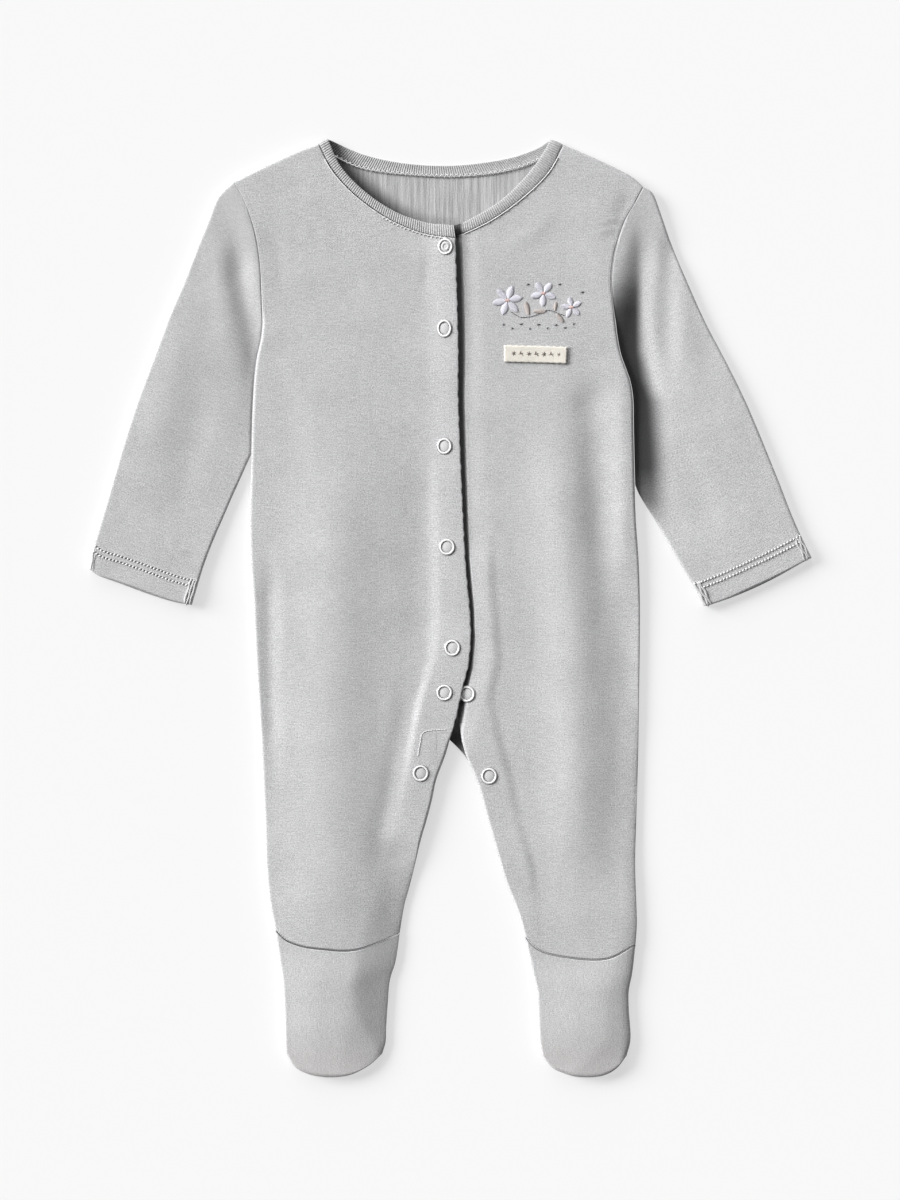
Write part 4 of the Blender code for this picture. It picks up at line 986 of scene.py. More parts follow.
def front_left():
    """Grid between the opening side and the armhole side; columns follow the channel."""
    left, left_marks = joined(rounded(NECKLINE_L), rounded(UNDER_EDGE), rounded(INNER_LEG_L))
    right, right_marks = joined(rounded(ARMHOLE_L), rounded(SIDE_L), rounded(OUTER_LEG_L))
    rows = front_rows(right, right_marks, left, left_marks)[:, ::-1]
    columns = channel_columns(at(left, rows[:, 0]))
    ends = (rounded(SHOULDER_L), rounded(ANKLE_L))
    lay = Layout((left, right), rows, ends, 66, left_edge=columns)
    z = under_front(lay.x, lay.y)
    turn = side_turn(lay.y)
    leg = ease((CROTCH_Y + 12.0 - lay.y) / 12.0)
    on_neck = ease((lay.y - 208.0) / 6.0)
    outer_fall = OUTER_FALL * ease((-30.0 - lay.y) / 70.0)
    seam_low = between((z - SEAM_DIP, FRONT_FALL), turn)
    free_low = between((z - FREE_DIP * on_neck, LEG_FALL), leg)
    z = edged(
        z, (lay.from_right, seam_low, between((SEAM_ROLL, ROLL), turn)),
        (lay.from_right, z - outer_fall, OUTER_REACH, OUTER_POWER),
        (lay.from_left, free_low, between((FREE_ROLL, ROLL), leg)),
        (lay.from_top, FRONT_FALL, ROLL), (lay.from_low, z - ANKLE_DIP, ANKLE_ROLL),
    )
    grid = surface(lay, z)
    share = np.maximum(slit_share(lay.x, lay.y), turned_away(lay, *CALF_SHADE_L))
    piece = cloth(
        "front_left_cloth", [(grid, flat_uv(lay, 0.31), False)], interlock, "jersey",
        painted_shade=[share],
    )
    return piece, lay.outline_area(), lay, grid


left_front, left_front_area, left_lay, left_grid = front_left()
print("left front covers", round(left_front_area * 1e4, 1), "square cm")

# %% [markdown]
# ## The back
# The back is cut in one piece with both legs. It is modelled as two halves that
# share the line from the neck to the crotch. It lies on the table, turns up at the
# folded sides, and has a few shallow creases where the cloth bunched underneath.

# %% Back
CENTRE_X = -0.5       # the line from the neck to the crotch
SHOULDER_FROM = 64.0  # distance from it at which the shoulder seam starts to turn up
BODY_LENGTH = 237.0   # the line's part below the underarms


def back_half(armhole, side, outer_leg, inner_leg, ankle, shoulder, neck, wearers_right):
    """Grid from the outer side to the centre line and the inside leg.

    Its height is the highest of the rolled-up side, the rolled-up shoulder and the creases.
    """
    outer, outer_marks = joined(rounded(armhole), rounded(side), rounded(outer_leg))
    centre = np.array([neck[-1], [CENTRE_X, CROTCH_Y]])
    inner, inner_marks = joined(centre, rounded(inner_leg))
    # place on the outer side, on the inner side, and rows up to the next key
    keys = [
        (0.0, 0.0, 5), (5.0, 5.0, 40), (outer_marks[0], inner_marks[0] - BODY_LENGTH, 118),
        (outer_marks[1], inner_marks[0], 56), (outer_marks[2], inner_marks[1], 0),
    ]
    rows = np.vstack([
        np.linspace((a, b), (c, d), count, endpoint=False)
        for (a, b, count), (c, d, _) in zip(keys[:-1], keys[1:])
    ] + [[keys[-1][:2]]])
    top, _ = joined(shoulder, neck)
    low = rounded(ankle)
    plain = np.array([0.0, 2.0, 4.0])
    if wearers_right:
        lay = Layout((outer, inner), rows, (top, low), 50, right_edge=plain)
    else:
        lay = Layout((inner, outer), rows[:, ::-1], (top[::-1], low), 50, left_edge=plain)
    from_side = lay.from_left if wearers_right else lay.from_right
    turn = side_turn(lay.y)
    on_shoulder = ease((np.abs(lay.x - CENTRE_X) - SHOULDER_FROM) / 8.0)
    z = np.maximum.reduce([
        BACK_RISE * turn * (1 - rise(from_side, ROLL)),
        BACK_RISE * on_shoulder * (1 - rise(lay.from_top, ROLL)),
        np.maximum(creases(lay.x, lay.y, CREASES_BACK), 0.0),
    ])
    return lay, (surface(lay, z), flat_uv(lay, 0.62), True)


print("the back is laid out from its centre line at", CENTRE_X, "mm")

# %% Painted shade inside the neck
# painted shade beside the right front's band at four places from the shoulder to the middle
BAND_PLACES = (-55.0, -40.0, -25.0, -10.0)
BAND_DARK = (0.78, 0.74, 0.5, 0.3)
BAND_REACH = (11.0, 9.0, 7.0, 5.0)
# painted shade in the opening at the crotch
CROTCH_DARK = 0.97


def under_band(x, y):
    """Share of painted shade inside the neck, beside the right front's band, and at the crotch."""
    gap, _ = from_line(x, y, rounded(BAND_EDGE_R))
    depth, reach = (np.interp(x, BAND_PLACES, values) for values in (BAND_DARK, BAND_REACH))
    beside_band = depth * (1 - ease((gap - 1.5) / reach)) * ease((y - 210.0) / 12.0) * (x < 20.0)
    return np.maximum(beside_band, CROTCH_DARK * bell(x - 3.5, 9.0) * bell(y - CROTCH_Y, 12.0))


print("beside the band the shade reaches", max(BAND_REACH), "mm at most")

# %% Both halves of the back
neck_line = rounded(NECKLINE_BACK, 16)
split = int(np.argmin(np.abs(neck_line[:, 0] - CENTRE_X)))
neck_line[split, 0] = CENTRE_X
right_half = back_half(
    ARMHOLE_R, SIDE_R, OUTER_LEG_R, INNER_LEG_R, ANKLE_R,
    rounded(SHOULDER_R), neck_line[: split + 1], True,
)
left_half = back_half(
    ARMHOLE_L, SIDE_L, OUTER_LEG_L, BACK_INNER_LEG_L, ANKLE_L,
    rounded(SHOULDER_L)[::-1], neck_line[split:][::-1], False,
)
back_lays, back_grids = zip(right_half, left_half)
back_panel = cloth(
    "back_cloth", list(back_grids), interlock, "jersey", inside=interlock_inside,
    painted_shade=[under_band(lay.x, lay.y) for lay in back_lays],
)
back_area = sum(lay.outline_area() for lay in back_lays)
print("back covers", round(back_area * 1e4, 1), "square cm")

# %% [markdown]
# ## Sleeves
# A sleeve is a flattened tube: an upper and an under layer, joined along the outer
# fold and along the inner seam, and sewn to the body at the armhole. Both layers
# share one plan, so they are two grids that meet exactly at their folds. Beside
# the body the upper layer sinks, because the sleeve is tucked in there.

# %% Painted shade where the sleeves are tucked in
# painted shade on the left sleeve beside the body, as (y, value): the line the shade
# reaches, the widths over which it fades past it and rises up to it, and its share
DARK_TO = [(225, 105), (147, 105), (130, 107), (118, 111), (85, 113), (50, 113)]
DARK_FADE = [(225, 5), (158, 6), (147, 7), (130, 11), (118, 13), (50, 14)]
DARK_RISE = [(204, 8), (187, 17), (179, 28), (171, 60), (160, 90)]
DARK_SHARE = [
    (225, 0), (205, 0.35), (193, 0.50), (181, 0.86), (170, 0.96), (158, 0.98),
    (80, 0.97), (62, 0.75), (44, 0),
]
# painted shade on the right sleeve beside the body: share and width
DIM_SHARE, DIM_WIDTH = 0.20, 18.0   # the right sleeve is only a little in the body's shade


def shade_under_left_arm(x, y):
    """Painted shade on the left sleeve, its share out of the light: rises to a line and fades past
    it.
    """
    past = x - table_at(y, DARK_TO)
    up = ease(1 + past / table_at(y, DARK_RISE))
    return table_at(y, DARK_SHARE) * up * (1 - ease(past / table_at(y, DARK_FADE)))


def shade_beside_right_arm(x, y):
    """Painted shade on the right sleeve, its share out of the light: fades outwards from the body's
    side.
    """
    side = table_at(y, [(b, a) for a, b in SIDE_R])
    beside_body = 1 - ease((side - x) / DIM_WIDTH)
    return DIM_SHARE * beside_body * ease((178.0 - y) / 40.0) * ease((y - 70.0) / 60.0)


print("under the left arm the shade is", max(share for _, share in DARK_SHARE))

# %% Sleeve tools
# how far each sleeve sinks beside the body, how far above the underarm that starts,
# and over what length
SINK_R = (1.0, 26.0, 50.0)
SINK_L = (2.4, 14.0, 28.0)
BESIDE_WIDTH = 24.0   # how wide the sunk part is
SOFT_CORNER = 0.4     # roundness where an upper layer comes to rest on the lower one
HEM = 15.0            # depth of the turned-up hem
HEM_DIP = 0.7         # how far the cuff's edge dips
HEM_ROLL = 1.4        # over this width
PEEK = 0.9            # how far the under layer looks out past it
SLEEVE_START = 17.0   # stretch of the armhole that closes the sleeve's top
SLEEVE_CELL = 1.2


def above(z, lowest):
    """Height kept above the lowest one by a soft corner: log of one plus e to the difference."""
    return lowest + SOFT_CORNER * np.logaddexp(0.0, (z - lowest) / SOFT_CORNER)


def sleeve(name, armhole, side, outer, inner, cuff, table, outer_first, shift, tucked, sink):
    """Upper and under layer between the outer fold and the armhole with the inner edge.

    At the folds both layers roll to half the sleeve's height and meet there.
    """
    away = -SLEEVE_AWAY if outer_first else SLEEVE_AWAY
    scye, body_side = beside(rounded(armhole), away), beside(rounded(side), away)
    body_side = body_side[body_side[:, 1] > inner[0][1] + 7.0]
    seam, marks = joined(scye, body_side, rounded([body_side[-1]] + inner))
    fold = rounded([scye[0]] + outer)
    fold_end, seam_end, underarm = arc(fold)[-1], marks[2], marks[0]
    rows = rows_through(
        (0.0, SLEEVE_START, SEAM_CELL), (4.0, SLEEVE_START + 4.0, SLEEVE_CELL),
        (72.0, underarm, SLEEVE_CELL), (fold_end - 16.0, seam_end - 16.0, SLEEVE_CELL),
        (fold_end - 3.0, seam_end - 3.0, SEAM_CELL), (fold_end, seam_end, SEAM_CELL),
    )
    first = at(seam, np.linspace(0.0, SLEEVE_START, 40))
    rolled = edge_places(SLEEVE_ROLL)
    if outer_first:
        curves, ends = (fold, seam), (first, rounded(cuff))
    else:
        curves, ends, rows = (seam, fold), (first[::-1], rounded(cuff)), rows[:, ::-1]
    lay = Layout(curves, rows, ends, 48, rolled, rolled)
    along_seam = lay.rows[:, 1:] if outer_first else lay.rows[:, :1]
    from_fold, from_seam = lay.from_left, lay.from_right
    if not outer_first:
        from_fold, from_seam = from_seam, from_fold
    turn = ease((along_seam - underarm + 4.0) / 12.0) + 0 * lay.x
    high = SLEEVE_TOP + creases(lay.x, lay.y, table) + settled(lay.x, lay.y + 70.0)
    depth, start, length = sink
    sunk = ease((along_seam - underarm + start) / length) * ease((lay.y - 15.0) / 45.0)
    high = high - depth * sunk * bell(from_seam, BESIDE_WIDTH)
    high = above(high, SLEEVE_LOWEST)
    middle = 0.5 * high
    seam_low = (1 - turn) * (high - SEAM_DIP) + turn * middle
    upper = edged(
        high, (from_seam, seam_low, between((SEAM_ROLL, SLEEVE_ROLL), turn)),
        (lay.from_top, high - SEAM_DIP, SEAM_ROLL), (lay.from_low, high - HEM_DIP, HEM_ROLL),
    )
    upper = np.minimum(upper, middle + (upper - middle) * rise(from_fold, SLEEVE_ROLL))
    under = np.maximum(
        middle * (1 - rise(from_fold, SLEEVE_ROLL)),
        middle * turn * (1 - rise(from_seam, SLEEVE_ROLL)),
    )
    folds = [0, -1]
    under[:, folds] = np.where(under[:, folds] > 0.1, upper[:, folds], under[:, folds])
    top, low = surface(lay, upper), surface(lay, under)
    low[..., 1] -= PEEK * np.sin(np.pi * lay.u) ** 2 * ease((10.0 - lay.from_low) / 10.0)
    grids = [(top, along_uv(lay, shift), False), (low, along_uv(lay, shift + 0.11), True)]
    # painted shade on the upper layer beside the body, none on the under layer
    share = [tucked(lay.x, lay.y), 0 * lay.x]
    hems = np.concatenate([(lay.from_low < HEM).ravel()] * 2)
    piece = cloth(name, grids, interlock, "jersey", faced=hems, painted_shade=share)
    return piece, 2 * lay.outline_area(), lay, top


print("a sleeve's hem is", HEM, "mm deep")

# %% Both sleeves
right_sleeve, right_sleeve_area, right_sleeve_lay, right_sleeve_top = sleeve(
    "sleeve_right_cloth", ARMHOLE_R, SIDE_R, SLEEVE_OUTER_R, SLEEVE_INNER_R, CUFF_R,
    CREASES_SLEEVE_R, True, 0.93, shade_beside_right_arm, SINK_R,
)
left_sleeve, left_sleeve_area, left_sleeve_lay, left_sleeve_top = sleeve(
    "sleeve_left_cloth", ARMHOLE_L, SIDE_L, SLEEVE_OUTER_L, SLEEVE_INNER_L, CUFF_L,
    CREASES_SLEEVE_L, False, 1.27, shade_under_left_arm, SINK_L,
)
print("sleeves take", round((right_sleeve_area + left_sleeve_area) * 1e4), "square cm")

# %% [markdown]
# ## Feet
# A foot is an upper and a sole, sewn together round the toe and the sides and then
# to the leg at the ankle. The upper is the fuller of the two: it keeps a little of
# the shape of the foot that it is made for. Both are grids on one outline, so the
# seam closes by itself.

# %% Warmer toes
WARM_FROM, WARM_TO = -0.225, -0.262   # metres along the garment
WARM_SHARE = 0.30
TOE_TINT = (0.60, 0.56, 0.54)


def toe_warmth(look):
    """0 at the ankle, rising towards the toe: a step on the place along the garment."""
    where = node(look, "ShaderNodeTexCoord").outputs["Object"]
    along = node(look, "ShaderNodeSeparateXYZ", {0: where}).outputs[1]
    inputs = {"Value": along, "From Min": WARM_FROM, "From Max": WARM_TO}
    down = node(look, "ShaderNodeMapRange", inputs)
    return math(look, "MULTIPLY", down.outputs[0], WARM_SHARE)


toe_interlock = knit(
    "grey_interlock_toe", COTTON, streak=0.31, slub=(1300.0, 240.0), warm=(toe_warmth, TOE_TINT),
)
print("toes are up to", WARM_SHARE, "warmer")

# %% Foot tools
INNER_FALL_R = (27.0, 1.5)   # the right foot's inner side falls over this width, almost straight
OUTER_FALL_L = (9.0, 2.5)    # the left foot's outer side, rounder
INSTEP = 40.0                # length over which the height of the foot comes
FOOT_CELL = 0.45             # spacing of the points at the toe
# width of the strip of painted shade on each foot's left side, which faces away from the light: (y,
# width)
AWAY_R = [(-264, -4), (-246, 9), (-232, 17), (-215, 21.5), (-200, 23), (-186, 22)]
AWAY_L = [(-264, 30), (-256, 24), (-244, 14), (-215, 12), (-186, 12)]
# share of painted shade on that strip
AWAY_SHARE_R, AWAY_SHARE_L = 0.22, 0.15


def foot(name, outer, inner, ankle, toe, outer_first, shift, table=None):
    """Grid from the ankle to the toe; with a crease table it is an upper, without one a sole.

    An upper's height is the level one with its creases, plus a crown that fades to
    every edge: a product of smooth steps.
    """
    left, right = (outer, inner) if outer_first else (inner, outer)
    left, right = rounded(left), rounded(right)
    line = beside(rounded(ankle), -0.7 * ANKLE_AWAY) - [0.0, 0.7 * ANKLE_AWAY]
    left[0], right[0] = line[0], line[-1]
    a, b = arc(left)[-1], arc(right)[-1]
    rows = rows_through(
        (0.0, 0.0, SEAM_CELL), (3.0, 3.0, CELL), (a - 5.0, b - 5.0, FOOT_CELL), (a, b, FOOT_CELL),
    )
    lay = Layout((left, right), rows, (line, rounded(toe)), 44)
    edges = (lay.from_left, lay.from_right, lay.from_low)
    uv, area = flat_uv(lay, shift), lay.outline_area()
    if table is None:
        z = np.maximum.reduce([BACK_RISE * (1 - rise(edge, ROLL)) for edge in edges])
        return cloth(name, [(surface(lay, z), uv, True)], toe_interlock, "jersey"), area
    z = FOOT_TOP + creases(lay.x, lay.y, table) + settled(lay.x, lay.y)
    z -= (FOOT_TOP - FRONT_TOP) * ease((INSTEP - lay.from_top) / INSTEP)
    crown = [ease(edge / CROWN_REACH) for edge in (*edges, lay.from_top)]
    z += FOOT_CROWN * np.prod(crown, axis=0)
    if outer_first:
        outer_side, inner_side = edges[:2]
        outer_fall, inner_fall, strip, depth = (ROLL,), INNER_FALL_R, AWAY_R, AWAY_SHARE_R
    else:
        inner_side, outer_side = edges[:2]
        outer_fall, inner_fall, strip, depth = OUTER_FALL_L, (ROLL,), AWAY_L, AWAY_SHARE_L
    z = edged(
        z, (lay.from_top, z - ANKLE_DIP, ANKLE_ROLL), (inner_side, FRONT_FALL, *inner_fall),
        (outer_side, FRONT_FALL, *outer_fall), (lay.from_low, FRONT_FALL, ROLL),
    )
    share = depth * ease((table_at(lay.y, strip) - lay.from_right) / 8.0 + 0.5)
    grids = [(surface(lay, z), uv, False)]
    return cloth(name, grids, toe_interlock, "jersey", painted_shade=[share]), area


print("a foot is up to", FOOT_TOP + FOOT_CROWN, "mm high before its creases")

# %% Both feet
RIGHT_FOOT = (FOOT_OUTER_R, FOOT_INNER_R, ANKLE_R, TOE_R, True)
LEFT_FOOT = (FOOT_OUTER_L, FOOT_INNER_L, ANKLE_L, TOE_L, False)
right_foot, right_foot_area = foot("foot_top_right_cloth", *RIGHT_FOOT, 0.0, CREASES_R)
left_foot, left_foot_area = foot("foot_top_left_cloth", *LEFT_FOOT, 0.31, CREASES_L)
right_sole, _ = foot("foot_sole_right_cloth", *RIGHT_FOOT, 0.62)
left_sole, _ = foot("foot_sole_left_cloth", *LEFT_FOOT, 0.62)
print("the right upper takes", round(right_foot_area * 1e4, 1), "square cm")

# %% [markdown]
# ## Neck binding
# The neck is bound with one folded strip of fine rib. It follows the right front
# up to the shoulder, turns over, crosses behind the neck and comes down the left
# front. The strip is a flat rounded section carried along that path; the ribs are
# real, a cosine along the path that lifts both faces, and the finish adds painted
# shade in their valleys.

# %% Binding lines
BAND_FROM_SEAM = 0.35   # gap between the strip and the seam line
BAND_SINK = 0.25        # the strip starts this far below the cloth's face
BAND_LOWEST = 3.3       # but no lower than this


def strip_lines():
    """Seam line and free edge of the strip: up the right front, across the back, down the left.

    Points crowd at both ends of each stretch by a cosine, because the strip turns
    over there: it climbs to the fold within the sleeve's roll.
    """
    seams, frees = [], []
    for free, seam, height in (
        (BAND_EDGE_R[::-1], NECKLINE_R[::-1], top_front),
        (BAND_EDGE_BACK, NECKLINE_BACK, None),
        (BAND_EDGE_L, NECKLINE_L, under_front),
    ):
        free, seam = rounded(free), rounded(seam)
        whole = arc(free)[-1]
        t = 0.5 * (1 - np.cos(np.linspace(0.0, np.pi, 400)))
        from_turn = whole * (1 - t if height is top_front else t)
        if height is None:
            from_turn = np.minimum(t, 1 - t) * whole
        a, b = at(free, t * whole), at(seam, t * arc(seam)[-1])
        b = b + (a - b) * (BAND_FROM_SEAM / np.linalg.norm(a - b, axis=1, keepdims=True))
        for chain, xy in ((seams, b), (frees, a)):
            if height is None:
                z = SLEEVE_FOLD * (1 - rise(from_turn, SLEEVE_ROLL))
            else:
                level = np.maximum(height(xy[:, 0], xy[:, 1]) - BAND_SINK, BAND_LOWEST)
                z = SLEEVE_FOLD + (level - SLEEVE_FOLD) * rise(from_turn, SLEEVE_ROLL)
            chain.append(np.column_stack([xy, z]))
    return np.vstack(seams), np.vstack(frees)


def respaced(line, other, gap):
    """Both lines at even steps of the length of their mean line."""
    along = arc(0.5 * (line + other))
    keep = np.concatenate([[True], np.diff(along) > 1e-6])
    steps = np.linspace(0, along[-1], int(along[-1] / gap))
    lines = [
        np.stack([np.interp(steps, along[keep], c) for c in chain[keep].T], axis=1)
        for chain in (line, other)
    ]
    return steps, *lines


along_band, seam_line, free_line = respaced(*strip_lines(), RIB_PERIOD / 6)
ribs = round(along_band[-1] / RIB_PERIOD)
print("binding is", round(along_band[-1]), "mm long with", ribs, "ribs")

# %% Binding section
RIB_HEIGHT = 0.13
BAND_CROWN = 0.35       # how much fuller the strip is in its middle
SECTION_POINTS = 20
SECTION_STEP = 0.8      # mm round the section from one point to the next


def unit(vectors):
    """Vectors scaled to length one."""
    return vectors / np.maximum(np.linalg.norm(vectors, axis=-1, keepdims=True), 1e-12)


def strip_surface(along, seam, free):
    """A flat rounded section carried along the strip, with ribs on both faces.

    The section is a circle whose cosine and sine are raised to powers below one,
    which makes it squarer. A cosine along the strip lifts the ribs, and a half sine
    across it the crown.
    """
    forward = unit(np.gradient(0.5 * (seam + free), axis=0))
    outward = unit(np.cross(unit(free - seam), forward))
    outward *= np.sign(outward[:1, 2:])
    angle = -TURN * np.arange(SECTION_POINTS) / SECTION_POINTS
    place_across = 0.5 + 0.5 * np.sign(np.cos(angle)) * np.abs(np.cos(angle)) ** 0.3
    face = np.sign(np.sin(angle)) * np.abs(np.sin(angle)) ** 0.4
    rib = RIB_HEIGHT * np.cos(TURN * along / RIB_PERIOD)[:, None] * face
    crown = BAND_CROWN * np.sin(np.pi * place_across)
    offset = 0.5 * BINDING_WALL * (face - 1) + rib + crown
    grid = seam[:, None] + place_across[:, None] * (free - seam)[:, None]
    grid = grid + offset[..., None] * outward[:, None]
    grid[..., 2] = np.maximum(grid[..., 2], 0.0)
    return grid


strip = strip_surface(along_band, seam_line, free_line)
print("the strip has", strip.shape[0], "sections of", strip.shape[1], "points")

# %% Binding mesh
def tube_faces(rings, points):
    """Quads between rings of a closed section, and the two end caps."""
    index = np.arange(rings * points).reshape(rings, points)
    after = np.roll(index, -1, axis=1)
    quads = np.stack([index[:-1], after[:-1], after[1:], index[1:]], axis=-1).reshape(-1, 4)
    return quads, index[:1, ::-1], index[-1:]


# the rib valleys of the neck strip get painted shade
rib_knit = knit(
    "grey_rib", tuple(1.01 * c for c in COTTON), 1540.0, 1500.0, 0.00005, 0.22, ribs=0.34,
)
faces = tube_faces(*strip.shape[:2])
lengthways = np.broadcast_to(along_band[:, None], strip.shape[:2])
around = np.broadcast_to(np.arange(SECTION_POINTS) * SECTION_STEP, strip.shape[:2])
strip_uv = np.stack([lengthways, around], axis=-1).reshape(-1, 2) * MM
corners = np.concatenate([f.ravel() for f in faces])
binding_mesh = new_mesh("neck_binding_rib", strip.reshape(-1, 3), faces, strip_uv[corners])
# painted shade: the strip behind the neck lies in the band's shade, and its last 14 mm under the
# lap
on_back = (np.abs(seam_line[:, 2]) < 2.0) & (seam_line[:, 1] > 240.0)
behind_neck = under_band(strip[..., 0], strip[..., 1]) * on_back[:, None]
last_part = (along_band > along_band[-1] - 14.0)[:, None] * (1 - ease((strip[..., 0] - 5.4) / 2.4))
write_painted_shade(binding_mesh, np.maximum(behind_neck, 0.9 * last_part).ravel())
binding = place("neck_binding_rib", binding_mesh, rib_knit, "rib")
print("binding has", len(binding_mesh.polygons), "faces")

# %% [markdown]
# ## Threads
# Stitches are what makes cloth look sewn. Each one is a short thread that dives
# into the cloth at both ends, so it is a tube on a low arch, thinner where it goes
# in. The tubes have only a few sides, because there are hundreds of them. Their
# places come from the cloth's own grid, so they lie on it wherever it rises.

# %% Thread tools
def height_on(grid, x, y):
    """Height of a grid over plan points: the plane through the grid's nearest point."""
    shape, x, y = np.shape(x), np.ravel(x), np.ravel(y)
    px, py = grid[..., 0].ravel(), grid[..., 1].ravel()
    near_x = (px > x.min() - 3) & (px < x.max() + 3)
    near = np.flatnonzero(near_x & (py > y.min() - 3) & (py < y.max() + 3))
    k = near[np.argmin((px[near] - x[:, None]) ** 2 + (py[near] - y[:, None]) ** 2, axis=1)]
    a, b = (np.gradient(grid, axis=axis).reshape(-1, 3)[k] for axis in (0, 1))
    dx, dy = x - px[k], y - py[k]
    det = a[:, 0] * b[:, 1] - a[:, 1] * b[:, 0]
    s, t = (dx * b[:, 1] - dy * b[:, 0]) / det, (a[:, 0] * dy - a[:, 1] * dx) / det
    return (grid[..., 2].ravel()[k] + s * a[:, 2] + t * b[:, 2]).reshape(shape)


def strands(name, paths, radius, looks, slot="jersey", sides=6, which=None):
    """Threads along paths (threads, rings, 3): at each ring a circle square to the path."""
    paths = np.asarray(paths, float)
    count, rings = paths.shape[:2]
    forward = unit(np.gradient(paths, axis=1))
    side = unit(np.cross([0.0, 0.0, 1.0], forward))
    lift = np.cross(forward, side)
    angle = (TURN * np.arange(sides) / sides)[:, None]
    ring = np.cos(angle) * side[:, :, None] + np.sin(angle) * lift[:, :, None]
    size = np.broadcast_to(radius, (count, rings))[..., None, None]
    points = (paths[:, :, None] + size * ring).reshape(-1, 3)
    shift = (rings * sides * np.arange(count))[:, None, None]
    faces = [(f[None] + shift).reshape(-1, f.shape[1]) for f in tube_faces(rings, sides)]
    mesh = new_mesh(name, points, faces)
    piece = place(name, mesh, looks[0], slot)
    for look in looks[1:]:
        mesh.materials.append(look)
    if which is not None:
        per_face = np.concatenate([np.repeat(which, len(f) // count) for f in faces])
        mesh.polygons.foreach_set("material_index", per_face.astype(np.int32))
    print(name, count, "threads,", sum(len(f) for f in faces), "faces")
    return piece


print("thread tools ready")

# %% Rows of stitches
def stitch_paths(start, end, arch, rings=6):
    """Straight in plan from start to end, lifted by a half sine of the given height."""
    t = np.linspace(0, 1, rings)[None, :, None]
    paths = start[:, None] + t * (end - start)[:, None]
    paths[..., 2] += (arch * np.sin(np.pi * t))[..., 0]
    return paths


def stitch_radius(radius, rings=6):
    """Full in the middle, thinner where the thread goes into the cloth."""
    return radius * (0.4 + 0.6 * np.sin(np.pi * np.linspace(0, 1, rings)) ** 0.5)


def running(line, pitch, length, slant=0.0, sink=0.05, first=0.0):
    """Start and end points of a row of stitches along a line, each turned a little across it."""
    points = at(line, np.arange(first, arc(line)[-1], pitch))
    forward = unit(np.gradient(points, axis=0))
    side = unit(np.cross([0.0, 0.0, 1.0], forward))
    half = 0.5 * length * forward + 0.5 * slant * side
    return points - half - [0, 0, sink], points + half - [0, 0, sink]


def sewn(name, line, pitch, length, arch, radius, look, slot="jersey", **turned):
    """A row of stitches along a line, as one piece."""
    paths = stitch_paths(*running(line, pitch, length, **turned), arch)
    return strands(name, paths, stitch_radius(radius), [look], slot)


print("stitches are arched tubes, sunk at both ends")

# %% Thread finishes
def thread_look(name, colour, roughness=0.7):
    """Twisted thread: slanting light and dark bands from a wave on object coordinates."""
    look, shader = finish(name, roughness, Specular_IOR_Level=0.3, Sheen_Weight=0.25)
    where = node(look, "ShaderNodeTexCoord").outputs["Object"]
    inputs = {"Vector": where, "Scale": 420.0, "Distortion": 2.0, "Detail": 1.0}
    twist = node(look, "ShaderNodeTexWave", inputs, bands_direction="DIAGONAL").outputs["Fac"]
    shade = ramp(look, twist, (0.0, tuple(0.86 * c for c in colour)), (1.0, colour))
    look.node_tree.links.new(shade, shader.inputs["Base Color"])
    bumped(look, shader, twist, 0.00005, 0.6)
    return look


pale_thread = thread_look("pale_thread", (0.86, 0.86, 0.86))
grey_thread = thread_look("grey_thread", (0.60, 0.60, 0.605))
# near-black thread that paints shade: needle holes, the line under the neck zigzag, specks beside
# the front zigzag and the ankle seams' dark line
shade_thread = thread_look("shade_thread", (0.15, 0.15, 0.155))
print("thread finishes ready")

# %% [markdown]
# ## Hems
# The sleeve hems are turned up and sewn with two needles 3.2 mm apart. Between two
# stitches the needle leaves a small hole, shown as a speck of near-black thread,
# which is painted shade. Where the sleeve seam meets the hem, its overlocked edge
# makes a thick end of three strands. All of it is real thread, because drawn
# stitches catch no light.

# %% Hem stitches
HEM_ROWS = (14.3, 11.1)   # distances of the two rows from the edge
HEM_PITCH = 2.0
HEM_FIRST = 0.8           # where the first stitch lies
HEM_LENGTHS = (1.15, 0.5)  # of a stitch and of a needle hole
HEM_RADII = (0.54, 0.42)


def row_at(grid, places, value):
    """The grid's row at which `places`, one number for each row, reaches the value."""
    order = np.argsort(places)
    r = np.interp(value, places[order], np.arange(len(places))[order])
    k = min(int(r), len(places) - 2)
    return grid[k] + (r - k) * (grid[k + 1] - grid[k])


def hem(name, lay, grid, mirror):
    """Two rows of slanting stitches, with a near-black speck of painted shade for each needle hole
    between them.
    """
    stitches, specks = [], []
    for distance in HEM_ROWS:
        line = row_at(grid, lay.from_low[:, 0], distance)[3:-3] + [0.0, 0.0, 0.03]
        stitches.append(running(
            line + [0.0, -0.3, 0.0], HEM_PITCH, HEM_LENGTHS[0], 0.4 * mirror, first=HEM_FIRST,
        ))
        specks.append(running(
            line + [0.0, 0.1, 0.0], HEM_PITCH, HEM_LENGTHS[1], 0.1, sink=0.0,
            first=HEM_FIRST + 0.5 * HEM_PITCH,
        ))
    light = stitch_paths(*(np.vstack(ends) for ends in zip(*stitches)), 0.3)
    holes = stitch_paths(*(np.vstack(ends) for ends in zip(*specks)), 0.05)
    which = np.repeat([0, 1], [len(light), len(holes)])
    radius = np.array(HEM_RADII)[which][:, None] * stitch_radius(1.0)
    threads = np.vstack([light, holes])
    return strands(name, threads, radius, [pale_thread, shade_thread], which=which)


hem("hem_stitches_right", right_sleeve_lay, right_sleeve_top, 1)
hem("hem_stitches_left", left_sleeve_lay, left_sleeve_top, -1)

# %% Seam ends
seam_cotton = thread_look("seam_cotton", (0.60, 0.60, 0.605), 0.95)


